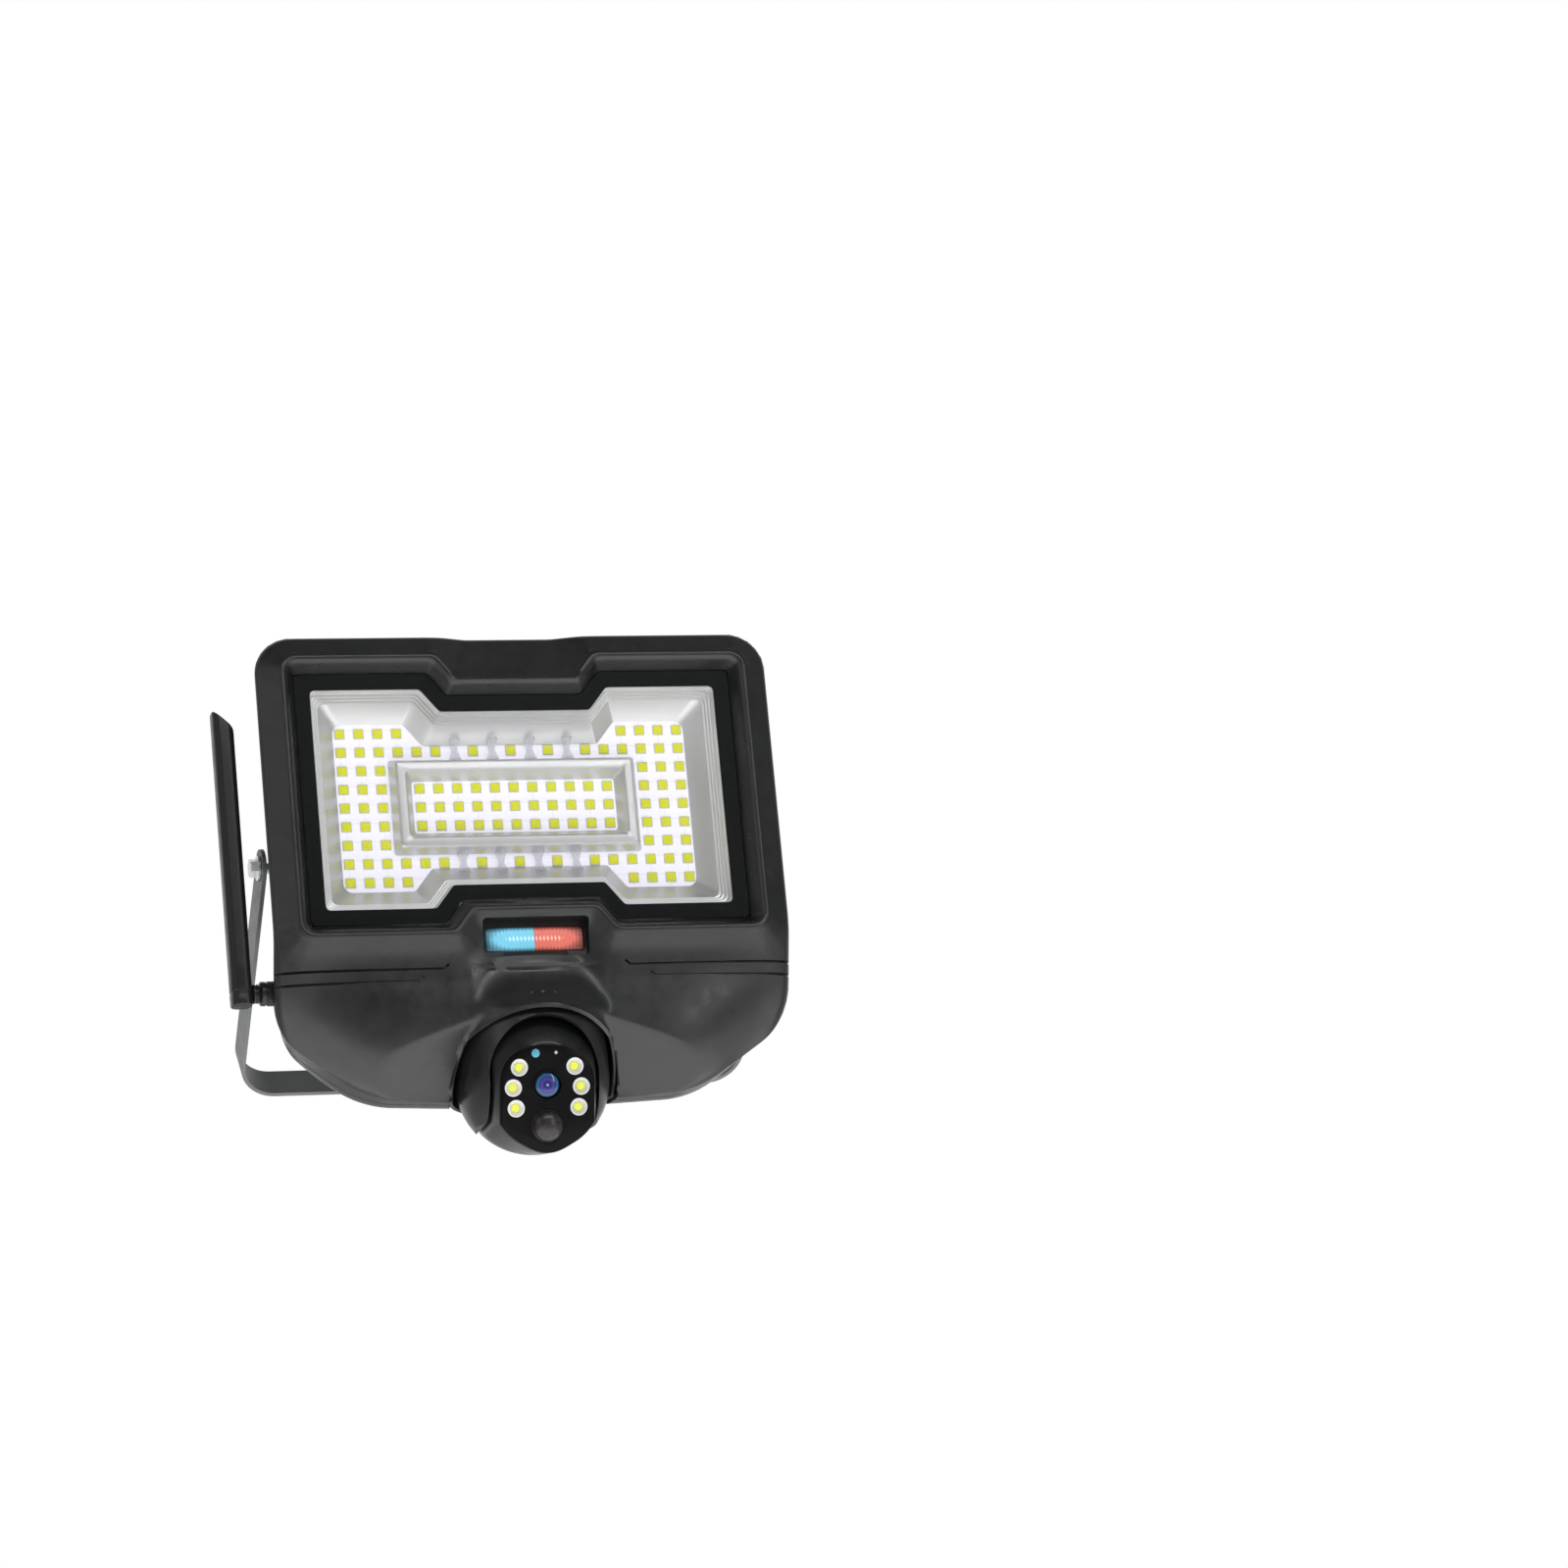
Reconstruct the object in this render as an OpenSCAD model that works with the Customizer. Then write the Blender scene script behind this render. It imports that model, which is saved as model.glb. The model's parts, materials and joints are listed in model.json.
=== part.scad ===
// Floodlight security camera on a U-shaped wall bracket.
// Lengths are in millimetres. The parts are drawn in the head's own axes:
// X to the right seen from the front, Y to the back, Z up, with Y = 0 on the
// glass front and Z = 0 at the lamp's centre. in_frame() then moves them so
// that the origin is the centre of the bracket's wall hole.

/* [Head] */
// Width of the head at its widest line
body_w = 250; // [246:1:252]
// Height of the head's top edge above the lamp centre
top_z = 79.3; // [78:0.5:81]
// Depth of the flat back behind the glass front
back_y = 48; // [47:1:52]
// Wall thickness of the two housings
wall = 2.4; // [2:0.1:3]
// Slant of the sides towards the back, in degrees
side_slant = 17; // [16:1:20]

/* [Lamp] */
// Spacing of the lamp's light chips
led_pitch = 9.2; // [9.2:0.1:9.2]
// Size of one light chip
led_size = 5; // [4:0.5:5.5]
// Half width of the clear window
win_w = 98.8; // [98:0.1:99]
// Half height of the clear window
win_h = 54; // [53.8:0.1:54.2]
// Width of the black border round the window
border = 7.7; // [7:0.1:8]

/* [Camera] */
// Radius of the camera ball
ball_r = 35.3; // [35:0.1:35.3]
// Radius of the yoke that carries the ball
yoke_r = 36.7; // [36.6:0.1:37]
// Camera tilt below level at rest, in degrees
rest_tilt = 18; // [10:1:30]
// Distance of the face plate's front from the ball centre
face_d = 30; // [29.5:0.1:30]

/* [Bracket] */
// Width of the bracket's flat bar
bar_w = 18; // [16:1:20]
// Thickness of the bracket's flat bar
bar_t = 2; // [1.5:0.1:2.2]
// Distance from the pivot to the wall face
arm_len = 127; // [120:1:135]
// Angle of the arms at rest, from straight down towards the back
arm_angle = 50; // [35:1:70]

/* [Antenna] */
// Length of the antenna paddle
paddle_len = 145; // [120:1:180]
// Width of the antenna paddle
paddle_w = 10; // [9:0.5:11]

/* [Hidden] */
$fn = 48;
eps = 0.01;

// Colours
black = "#242625";
dark = "#1e1e1e";
gloss = "#0c0c0d";
silver = "#c9cacc";
steel = "#5c5f5e";
white = "#eceaf2";
chip = "#e3e600";
copper = "#b87333";
green = "#1f5a3a";

// Lamp stack along Y
glass_t = 3;
ledge_y = 4.2;
ledge_t = 2.4;
board_y = 17;
board_t = 1.6;
sink_t = 2.4;
notch_d = 11.2;
notch_half = 36.8;
notch_run = 9;
notch_k = tan(atan2(notch_d, notch_run) / 2);
cols = 19;
rows = 9;

// Head
half_w = body_w / 2;
widest_y = 4;
split_y = 34;
chin_y = 23;
gasket_t = 0.6;
half_w_back = half_w - (split_y - widest_y) * tan(side_slant);
crest_y = -7;
crest_out = border + 4.8;
alarm_z = -70;

// Camera
pan_y = 29;
ball_z = -132;
hood_in = 38.4;
hood_out = 40.4;
roof_z = -92.6;
shoulder_r = 34;
slot_half = 26.4;
ball_half = 25.1;
yoke_wall = 1.1;
face_half = 23.35;
face_top = 19.5;
pir_v = 19.3;
lobe_r = 12.5;
axle_r = 3;
run_gap = 0.05;

// Bracket
pivot_y = 22;
pivot_z = -27;
arm_in = 123;
bolt_r = 2.5;
wall_y = pivot_y + arm_len * sin(arm_angle);
wall_z = pivot_z - arm_len * cos(arm_angle);

// Antenna
ant_y = 19;
ant_z = -89;
ant_in = 130.3;

module in_frame() { translate([0, -wall_y, -wall_z]) children(); }
module slab_y(y0, t) { translate([0, y0 + t, 0]) rotate([90, 0, 0]) linear_extrude(t) children(); }
module rod_x(x0, len, y, z, r) { translate([x0, y, z]) rotate([0, 90, 0]) cylinder(h = len, r = r); }
module rod_y(x, y0, len, z, r) { translate([x, y0, z]) rotate([-90, 0, 0]) cylinder(h = len, r = r); }
module rod_z(x, y, z0, len, r) { translate([x, y, z0]) cylinder(h = len, r = r); }
module both_sides() { children(); mirror([1, 0, 0]) children(); }
module box_c(x, y0, z, w, d, h) { translate([x - w / 2, y0, z - h / 2]) cube([w, d, h]); }

// Bow-tie outline of the window, moved inwards by i
function upper_half(i) = [
    [win_w - i, win_h - i], [notch_half + notch_run + i * notch_k, win_h - i],
    [notch_half + i * notch_k, win_h - notch_d - i], [-notch_half - i * notch_k, win_h - notch_d - i],
    [-notch_half - notch_run - i * notch_k, win_h - i], [-win_w + i, win_h - i]
];
function lower_half(i) = [for (k = [5:-1:0]) [upper_half(i)[k][0], -upper_half(i)[k][1]]];
module bowtie(i) { polygon(concat(upper_half(i), lower_half(i))); }
module bowtie_ring(y0, t, outer, inner) {
    slab_y(y0, t) difference() {
        bowtie(outer);
        bowtie(inner);
    }
}

// ---- Head shell ----
// Closed outer form of the head, moved inwards by i. The chin curls back from
// the flat front to its lowest line at chin_y, as X, Z and radius at each depth.
module chin(y, t, circles) {
    for (c = circles) rod_y(c[0], y, t, c[1], c[2]);
}
module head_form(i) {
    hull() {
        both_sides() {
            rod_y(half_w - 18, i, widest_y - i, top_z - 18, 18 - i);
            rod_y(half_w_back - 16, split_y - 1, 1, top_z - 24, 16 - i);
            rod_y(half_w_back - 24, back_y - 3, 3 - i, top_z - 28, 16 - i);
            chin(i, widest_y - i, [[half_w - 15, -81, 14 - i]]);
            chin(widest_y - 0.6 + i / 2, 1, [[half_w - 18, -86, 18 - i], [63.6, -90.7, 28 - i]]);
            chin(8.5 + i / 2, 1, [[half_w - 25.4, -87, 24 - i], [63.6, -90.7, 38 - i]]);
            chin(chin_y, 1, [[half_w - 36.1, -93.8, 30 - i], [63.6, -90.7, 50 - i]]);
            chin(split_y + 4, 2, [[half_w_back - 30.6, -93.8, 30 - i], [62, -90.7, 50 - i]]);
            chin(back_y - 3, 3 - i, [[half_w_back - 34, -90, 26 - i], [60, -88, 46 - i]]);
        }
        chin(chin_y, 1, [[0, -133.2, 10 - i]]);
        chin(split_y + 4, 2, [[0, -133.2, 10 - i]]);
    }
}

// Raised rim round the glass
module bezel_form() {
    hull() both_sides() for (s = [-1, 1]) {
        rod_y(win_w + crest_out - 8, crest_y, 0.2, s * (win_h + crest_out - 8), 8);
        rod_y(half_w - 18, widest_y - 1, 1, s > 0 ? top_z - 18 : -62, s > 0 ? 18 : 10);
    }
}

// Round turret that covers the yoke, cut by a slanted rim, and the space inside it
module turn_y(points) { translate([0, pan_y, 0]) rotate_extrude($fn = 96) polygon(points); }
module turret_form() {
    intersection() {
        turn_y([[0, -140], [hood_out, -140], [hood_out, -104], [shoulder_r, roof_z + wall], [0, roof_z + wall]]);
        rotate([90, 0, 90]) linear_extrude(200, center = true)
            polygon([[-20, -100.3], [29, -127.5], [37, -140.5], [80, -140.5], [80, -60], [-20, -60]]);
    }
    intersection() {
        turn_y([[shoulder_r - 3, roof_z + wall - 1], [shoulder_r + 0.58, roof_z + wall - 1], [28, -80], [25, -80]]);
        translate([-100, -100, -120]) cube([200, 100 + split_y - gasket_t, 60]);
    }
}
module turret_space() {
    turn_y([[0, -170], [hood_in, -170], [hood_in, -106], [29, roof_z], [0, roof_z]]);
}
module turret_core(gap) {
    turn_y([[0, -170], [hood_out + gap, -170], [hood_out + gap, -104],
            [shoulder_r + gap, roof_z + wall + gap], [0, roof_z + wall + gap]]);
}

// Screw places as X, Z and the front end of the post
screw_spots = [[98, 59.8, 6], [98, -59.8, 6], [84, -108, 5]];
module screw_posts() {
    for (p = screw_spots) both_sides() rod_y(p[0], p[2], split_y - gasket_t - p[2], p[1], 4);
}
module screw_holes(r, y0, len) {
    for (p = screw_spots) both_sides() rod_y(p[0], y0, len, p[1], r);
}

module front_housing() {
    color(black) difference() {
        union() {
            difference() {
                union() {
                    head_form(0);
                    bezel_form();
                }
                difference() {
                    head_form(wall);
                    turret_core(-1);
                    slab_y(0, ledge_y + ledge_t) square([230, 134], center = true);
                }
                translate([-200, split_y - gasket_t, -200]) cube([400, 60, 400]);
            }
            turret_form();
            screw_posts();
            both_sides() rod_x(110, arm_in - 0.4 - 110, pivot_y, pivot_z, 10);
            both_sides() rod_z(17, pan_y, roof_z + wall - 1, 8, 2.6);
        }
        // glass seat and window
        slab_y(-20, 20 + ledge_y) bowtie(-border - 0.3);
        slab_y(-20, 18) bowtie(-border - 2.4);
        slab_y(0, 20) bowtie(-2.2);
        // flat panel above the lamp and flat band below it
        slab_y(-20, 17) polygon([[-26, 60], [26, 60], [40, 85], [-40, 85]]);
        slab_y(-20, 20) polygon([[-34, -59.5], [34, -59.5], [46, -75], [-46, -75]]);
        // warning light pocket
        slab_y(-1, 2) translate([0, alarm_z]) square([51.6, 18], center = true);
        slab_y(-1, 8) translate([0, alarm_z]) square([48.4, 12.4], center = true);
        slab_y(3.3, 4) translate([0, alarm_z]) square([51.6, 15.4], center = true);
        turret_space();
        // pan bearing seat, microphone holes, antenna and pivot holes
        rod_z(0, pan_y, roof_z - 1, wall + 2, 7);
        for (k = [-1:1]) rod_y(k * 5.9, -15, 12, -98, 0.5);
        rod_y(0, -6.4, 6, -98, 2.2);
        rod_x(-126, 12, ant_y, ant_z, 3.3);
        both_sides() rod_x(108, 20, pivot_y, pivot_z, bolt_r + 0.1);
        both_sides() rod_x(109, 5, pivot_y, pivot_z, 4.9);
        screw_holes(1.6, 12, 40);
    }
}

module rear_housing() {
    color(black) difference() {
        union() {
            difference() {
                head_form(0);
                head_form(wall);
            }
            screw_holes(5, split_y + 1, back_y - wall - split_y - 0.6);
        }
        translate([-200, -50, -200]) cube([400, 50 + split_y, 400]);
        turret_core(0.2);
        // recessed screws, sockets and covers
        screw_holes(1.8, split_y, 40);
        screw_holes(3.4, back_y - 3.4, 10);
        rod_y(70, back_y - 10, 20, -40, 4.1);
        rod_y(-70, back_y - 10, 20, -40, 3.1);
        rod_y(70, back_y - 10, 20, -75, 6.3);
        box_c(-60, back_y - 10, 40, 24.4, 20, 14.4);
        for (a = [0:45:315]) rod_y(-62 + 7 * cos(a), back_y - 10, 20, -85 + 7 * sin(a), 1);
        rod_y(-62, back_y - 10, 20, -85, 1);
    }
}

module housing_gasket() {
    color(dark) difference() {
        intersection() {
            difference() {
                head_form(0.6);
                head_form(1.8);
            }
            translate([-200, split_y - gasket_t, -200]) cube([400, gasket_t, 400]);
        }
        turret_core(0.2);
    }
}

module housing_screws() {
    color(steel) {
        screw_holes(1.5, 22, back_y - 3.4 - 22 + eps);
        screw_holes(2.9, back_y - 3.4, 2.2);
    }
}

// ---- Lamp ----
module glass_panel() { color("#9aa4a8", 0.3) slab_y(0, glass_t) bowtie(-border); }
module glass_gasket() { color(gloss) bowtie_ring(glass_t, ledge_y - glass_t, -border, -0.2); }

steps = [0, 3.2, 6.6, 10, 12.5];
module outer_reflector() {
    first_y = ledge_y + 0.2;
    step_y = (board_y - first_y) / 4;
    color(silver) for (k = [0:3]) {
        bowtie_ring(first_y + k * step_y, step_y, steps[k] - 1.6, steps[k]);
        if (k < 3) bowtie_ring(first_y + (k + 1) * step_y - 1.2, 1.2, steps[k] - 1, steps[k + 1]);
    }
}
module frame_ring(y0, t, w1, h1, w2, h2) {
    slab_y(y0, t) difference() {
        square([2 * w1, 2 * h1], center = true);
        square([2 * w2, 2 * h2], center = true);
    }
}
module inner_reflector() {
    color(silver) {
        frame_ring(13.5, board_y - 13.5, 60.5, 23.6, 49.6, 12.8);
        frame_ring(10, 3.5, 57.8, 20.9, 53, 16.2);
    }
}
rib_cols = [6, 8, 10, 12];
module reflector_ribs() {
    color("#dfe3e6", 0.6) for (c = rib_cols, s = [-1, 1])
        box_c((c - 9) * led_pitch, 10, s * 26.9, 2, board_y - 10, 6.4);
}
function has_led(c, r) =
    let (m = abs(c - 9), v = abs(r - 4))
    v == 4 ? m >= 6 : v == 3 ? (m >= 4 || m % 2 == 0 && m <= 2) : v == 2 ? m >= 7 : (m >= 7 || m <= 5);
module flood_leds() {
    color(chip) for (c = [0:cols - 1], r = [0:rows - 1]) if (has_led(c, r))
        box_c((c - 9) * led_pitch, board_y - 0.9, (4 - r) * led_pitch, led_size, 0.9, led_size);
}
board_screw_spots = [[-98, 44], [98, 44], [-98, -44], [98, -44]];
module led_board() {
    color(white) difference() {
        slab_y(board_y, board_t) square([202, 96], center = true);
        for (p = board_screw_spots) rod_y(p[0], board_y - 1, 4, p[1], 1.6);
    }
}
module heat_sink() {
    color("#a8abad") difference() {
        union() {
            box_c(0, board_y + board_t, 0, 202, sink_t, 96);
            for (k = [0:2]) box_c(0, board_y + board_t + sink_t - eps, k * 6 - 47, 150, 3.2, 1.4);
            for (k = [3:12]) box_c(41, board_y + board_t + sink_t - eps, k * 6 - 47, 68, 3.2, 1.4);
        }
        for (p = board_screw_spots) rod_y(p[0], board_y - 1, 8, p[1], 1.6);
    }
}
module led_board_screws() {
    color(silver) for (p = board_screw_spots) {
        rod_y(p[0], board_y - 1.6, 1.6, p[1], 2.6);
        rod_y(p[0], board_y - eps, 6, p[1], 1.5);
    }
}

// ---- Warning light ----
module alarm_half(s) {
    box_c(s * 12.05, 0.6, alarm_z, 23.9, 3, 12);
    box_c(s * 12.85, 3.4, alarm_z, 25.5, 1.2, 15);
}
module alarm_lens_blue() { color("#7fd0ea") alarm_half(-1); }
module alarm_lens_red() { color("#f0836a") alarm_half(1); }
module alarm_board() { color(green) box_c(0, 7.6, alarm_z - 1, 50, 1.6, 12); }
module alarm_leds() {
    color(chip) for (k = [-2.5:2.5]) box_c(k * 8, 6.8, alarm_z - 1, 2.8, 0.8, 2.8);
}

// ---- Electronics ----
module microphone() { color(silver) rod_y(0, -5.8, 2.2, -98, 2.1); }
module speaker() {
    color(dark) {
        rod_y(-62, back_y - wall - 3, 3, -85, 14);
        rod_y(-62, back_y - wall - 8, 5 + eps, -85, 8);
    }
}
module controller_board() {
    color(green) difference() {
        box_c(50, 30, 4, 84, 1.6, 76);
        for (x = [12, 88], z = [-30, 38]) rod_y(x, 29, 4, z, 1.6);
    }
}
module controller_chips() {
    color(dark) {
        box_c(40, 31.6, 18, 14, 1.2, 14);
        box_c(64, 31.6, 18, 9, 1, 9);
        box_c(34, 31.6, -10, 10, 3, 7);
        box_c(76, 31.6, -18, 12, 5, 9);
        for (k = [0:3]) box_c(52 + 7 * k, 31.6, -2, 4, 1.6, 3);
    }
}
cell_z = [-18, 2, 22, 42];
module battery_cells() {
    color("#2f6fb0") for (z = cell_z) rod_x(-78, 65, 34, z, 9.2);
}
module battery_tray() {
    color(dark) difference() {
        box_c(-45.5, 23, 12, 73, 9, 84);
        for (z = cell_z) rod_x(-78.5, 66, 34, z, 9.5);
    }
}
module solar_socket() {
    color(dark) difference() {
        union() {
            rod_y(70, back_y - 12, 17, -40, 4);
            rod_y(70, back_y, 2, -40, 6.5);
        }
        rod_y(70, back_y - 4, 12, -40, 2.75);
    }
}
module solar_socket_nut() {
    color(steel) difference() {
        translate([70, back_y - wall - 2.6, -40]) rotate([-90, 0, 0]) cylinder(h = 2.4, r = 6.5, $fn = 6);
        rod_y(70, back_y - 12, 14, -40, 4.02);
    }
}
module vent_plug() {
    color(dark) {
        rod_y(-70, back_y - wall - 1, wall + 1 + eps, -40, 3);
        rod_y(-70, back_y, 1.6, -40, 5);
    }
}
module card_cover() {
    color(dark) {
        box_c(-60, back_y, 40, 28, 1.4, 18);
        box_c(-60, back_y - wall, 40, 24, wall + eps, 14);
    }
}
module button_switch() {
    color(steel) {
        box_c(70, back_y - 12, -75, 9, 4, 9);
        rod_y(70, back_y - 8 - eps, 1.8, -75, 1.8);
    }
}
module power_button() {
    color("#3b3d3d") {
        rod_y(70, back_y - wall - 0.4, wall + 1.6, -75, 6);
        rod_y(70, back_y - wall - 1.8, 1.42, -75, 7.6);
        rod_y(70, back_y - 4.8, 0.7, -75, 2);
    }
}

// ---- Bracket and pivots ----
module rounded_rect(w, h, r) {
    for (x = [r, w - r], y = [r, h - r]) translate([x, y]) circle(r);
    translate([r, 0]) square([w - 2 * r, h]);
    translate([0, r]) square([w, h - 2 * r]);
}
module bracket_profile() {
    outer = arm_in + bar_t;
    difference() {
        translate([-outer, -arm_len]) rounded_rect(2 * outer, 2 * arm_len, 14);
        translate([-arm_in, -arm_len + bar_t]) rounded_rect(2 * arm_in, 2 * arm_len, 14 - bar_t);
    }
}
module mounting_bracket() {
    color(steel) translate([0, pivot_y, pivot_z]) rotate([arm_angle, 0, 0]) difference() {
        intersection() {
            translate([0, bar_w / 2, 0]) rotate([90, 0, 0]) linear_extrude(bar_w) bracket_profile();
            union() {
                rod_x(-150, 300, 0, 0, bar_w / 2);
                translate([-150, -20, -arm_len - 5]) cube([300, 40, arm_len + 5]);
            }
        }
        rod_x(-150, 300, 0, 0, bolt_r + run_gap);
        translate([0, 0, -arm_len - 5]) cylinder(h = 10, r = 4.2);
        for (x = [-40, 40]) translate([x, 0, -arm_len - 5]) cylinder(h = 10, r = 2.75);
    }
}
module pivot_bolts() {
    head_x = arm_in + bar_t + 1.2;
    color(silver) both_sides() {
        rod_x(110, head_x - 110 + eps, pivot_y, pivot_z, bolt_r);
        translate([head_x, pivot_y, pivot_z]) rotate([0, 90, 0]) cylinder(h = 3.6, r = 4.6, $fn = 6);
    }
}
module pivot_washers() {
    color(silver) both_sides() difference() {
        rod_x(arm_in + bar_t + 0.2, 1, pivot_y, pivot_z, 6);
        rod_x(arm_in, 10, pivot_y, pivot_z, bolt_r + 0.05);
    }
}
module pivot_nuts() {
    color(silver) both_sides() difference() {
        translate([110.2, pivot_y, pivot_z]) rotate([0, 90, 0]) cylinder(h = 3.6, r = 4.6, $fn = 6);
        rod_x(100, 20, pivot_y, pivot_z, bolt_r + 0.02);
    }
}

// ---- Camera turret ----
module pan_bearing() {
    color(copper) difference() {
        union() {
            rod_z(0, pan_y, roof_z, wall + 0.2, 7 - eps);
            rod_z(0, pan_y, roof_z + wall + 0.02, 1.2, 9);
        }
        rod_z(0, pan_y, roof_z - 5, 20, 4);
    }
}
module pan_motor() {
    color(silver) difference() {
        union() {
            rod_z(0, pan_y, roof_z + 9.4, 14, 13);
            translate([-21, pan_y - 5, roof_z + 9.4]) cube([42, 10, 1.2]);
            rod_z(0, pan_y, roof_z + 5.5, 4, 2.4);
        }
        both_sides() rod_z(17, pan_y, roof_z, 20, 1.3);
    }
}
module pan_shaft() {
    color(steel) difference() {
        union() {
            rod_z(0, pan_y, roof_z - 1, 9, 4 - run_gap);
            rod_z(0, pan_y, roof_z - 1, 0.7, 12);
        }
        rod_z(0, pan_y, roof_z + 5, 10, 2.5);
    }
}
module at_ball() { translate([0, pan_y, ball_z]) children(); }
// Round below, straight above the tilt axis, and domed under the turret's roof
function arc(r, z0, h, from, to) =
    [for (k = [0:10]) let (a = from + (to - from) * k / 10) [r * cos(a), z0 + h * sin(a)]];
module yoke_form() {
    at_ball() rotate_extrude($fn = 96)
        polygon(concat([[0, -yoke_r]], arc(yoke_r, 0, yoke_r, -80, 0), arc(yoke_r, 20, 20, 5, 60), [[0, 37.3]]));
}
module yoke_space() {
    in_r = yoke_r - yoke_wall;
    at_ball() intersection() {
        rotate_extrude($fn = 96) polygon(concat([[0, -60], [in_r, -60]], arc(in_r, 12, 24.2, 0, 90)));
        cube([2 * slot_half, 200, 200], center = true);
    }
}
module yoke() {
    color(dark) difference() {
        yoke_form();
        yoke_space();
        // open front arch, open underside, flat ends of the cheeks
        at_ball() {
            translate([0, 0, -4.4]) rotate([90, 0, 0]) cylinder(h = 60, r = slot_half);
            translate([-slot_half, -60, -64.4]) cube([2 * slot_half, 60, 60]);
            translate([-slot_half, -1, -58]) cube([2 * slot_half, 60, 62]);
            translate([-60, -60, -60]) cube([120, 120, 37.5]);
        }
        at_ball() {
            rod_x(-34, 10, 0, 0, axle_r);
            rod_x(24, 4.1, 0, 0, axle_r);
            rod_x(28, 6.5, 0, 0, 8.2);
        }
        for (a = [45:90:315]) translate([8 * cos(a), pan_y + 8 * sin(a), roof_z - 8]) cylinder(h = 12, r = 0.9);
    }
}
module tilt_motor() {
    color(silver) at_ball() {
        rod_x(28.2, 6, 0, 0, 8);
        rod_x(24.4, 3.9, 0, 0, 1.4);
    }
}
module yoke_screws() {
    color(silver) for (a = [45:90:315]) translate([8 * cos(a), pan_y + 8 * sin(a), 0])
        translate([0, 0, roof_z - 4.3]) cylinder(h = 3.3, r = 0.85);
}

// ---- Camera ball, drawn level with the lens towards -Y ----
module in_ball() { at_ball() rotate([rest_tilt, 0, 0]) children(); }
module face_outline(i) {
    translate([0, 4.75]) resize([2 * (face_half - i), 2 * (face_top - 4.75 - i)]) circle(r = 20);
    translate([-face_half + i, -12]) square([2 * (face_half - i), 16.75]);
    intersection() {
        translate([0, -4]) circle(r = 26.4 - i);
        translate([-face_half + i, -40]) square([2 * (face_half - i), 36]);
    }
    translate([0, -pir_v]) circle(r = lobe_r - i);
}
module ball_form(i) {
    hull() {
        intersection() {
            sphere(r = ball_r - i, $fn = 64);
            translate([-ball_half + i, -face_d + 0.6 + i, -50]) cube([2 * (ball_half - i), 100, 100]);
        }
        slab_y(-face_d + 0.6 + i, 2) translate([0, -2]) circle(r = 20.9 - i, $fn = 32);
        slab_y(-face_d + 0.6 + i, 2) translate([0, -pir_v]) circle(r = lobe_r - i, $fn = 32);
        slab_y(-face_d + 0.6 + i, 2) translate([0, -4]) square([2 * (face_half - i), 14], center = true);
    }
}
module ball_split(front) {
    translate([-60, front ? -60 : 0, -60]) cube([120, 60, 120]);
}
module ball_hub_hole() { rod_x(-40, 80, 0, 0, axle_r - run_gap); }
module ball_front_shell() {
    color(black) in_ball() difference() {
        intersection() {
            ball_form(0);
            ball_split(true);
        }
        ball_form(1.8);
        ball_hub_hole();
        slab_y(-face_d - 5, 12) face_outline(2.6);
    }
}
module ball_rear_shell() {
    color(black) in_ball() difference() {
        intersection() {
            ball_form(0);
            ball_split(false);
        }
        ball_form(1.8);
        ball_hub_hole();
    }
}
spot_spots = [[13.4, 8.5], [16.4, -1], [15.1, -10.7]];
spot_r = 4.1;
// The plate's widest corners are trimmed so that it turns freely inside the turret
module face_plate() {
    color(gloss) intersection() {
        in_ball() difference() {
            slab_y(-face_d - 0.4, 1) face_outline(0);
            rod_y(0, -40, 20, 0, 7.4);
            for (p = spot_spots) both_sides() rod_y(p[0], -40, 20, p[1], spot_r);
            rod_y(0, -40, 20, -pir_v, 7.7);
            rod_y(-5.5, -40, 20, 15, 2.1);
            rod_y(4.3, -40, 20, 15.2, 0.9);
        }
        rod_z(0, pan_y, ball_z - 45, 90, hood_in - 0.3);
    }
}
module lens_barrel() {
    color(dark) in_ball() difference() {
        union() {
            rod_y(0, -face_d - 1, 3, 0, 7.3);
            rod_y(0, -face_d + 1.9, 16, 0, 6.6);
        }
        rod_y(0, -40, 14, 0, 6);
    }
}
module lens_glass() {
    color("#20306a") in_ball() rod_y(0, -face_d - 0.6, 3, 0, 5.9);
}
module spot_lenses() {
    color("#e8e8ee", 0.6) in_ball() for (p = spot_spots) both_sides()
        rod_y(p[0], -face_d - 0.2, 2.2, p[1], spot_r - 0.1);
}
module spot_leds() {
    color(chip) in_ball() for (p = spot_spots) both_sides()
        rod_y(p[0], -face_d + 2.6, 1, p[1], 1.7);
}
module pir_dome() {
    color("#3a3438") in_ball() translate([0, -face_d + 1.6, -pir_v]) rotate([90, 0, 0]) rotate_extrude($fn = 48)
        polygon(concat([[6.4, 0], [7.6, 0]], arc(7.6, 0.4, 6.6, 0, 90), arc(6.4, 0.2, 5.6, 90, 5)));
}
module pir_sensor() { color(silver) in_ball() rod_y(0, -face_d + 1, 2.6, -pir_v, 4); }
module light_sensor_window() { color("#4aa9c9") in_ball() rod_y(-5.5, -face_d - 0.2, 0.75, 15, 2); }
module status_light() { color("#b8b8b8") in_ball() rod_y(4.3, -face_d - 0.2, 0.75, 15.2, 0.8); }
module camera_board() {
    color(green) in_ball() difference() {
        box_c(0, -face_d + 3.8, -4, 33, 1.4, 29);
        rod_y(0, -40, 30, 0, 6.8);
    }
}
module tilt_axle() {
    color(steel) in_ball() {
        rod_x(-33, 12, 0, 0, axle_r - run_gap);
        difference() {
            rod_x(21, 7, 0, 0, axle_r - run_gap);
            rod_x(24, 6, 0, 0, 1.5);
        }
        both_sides() rod_x(20, 3.2, 0, 0, 5.5);
    }
}

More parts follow.
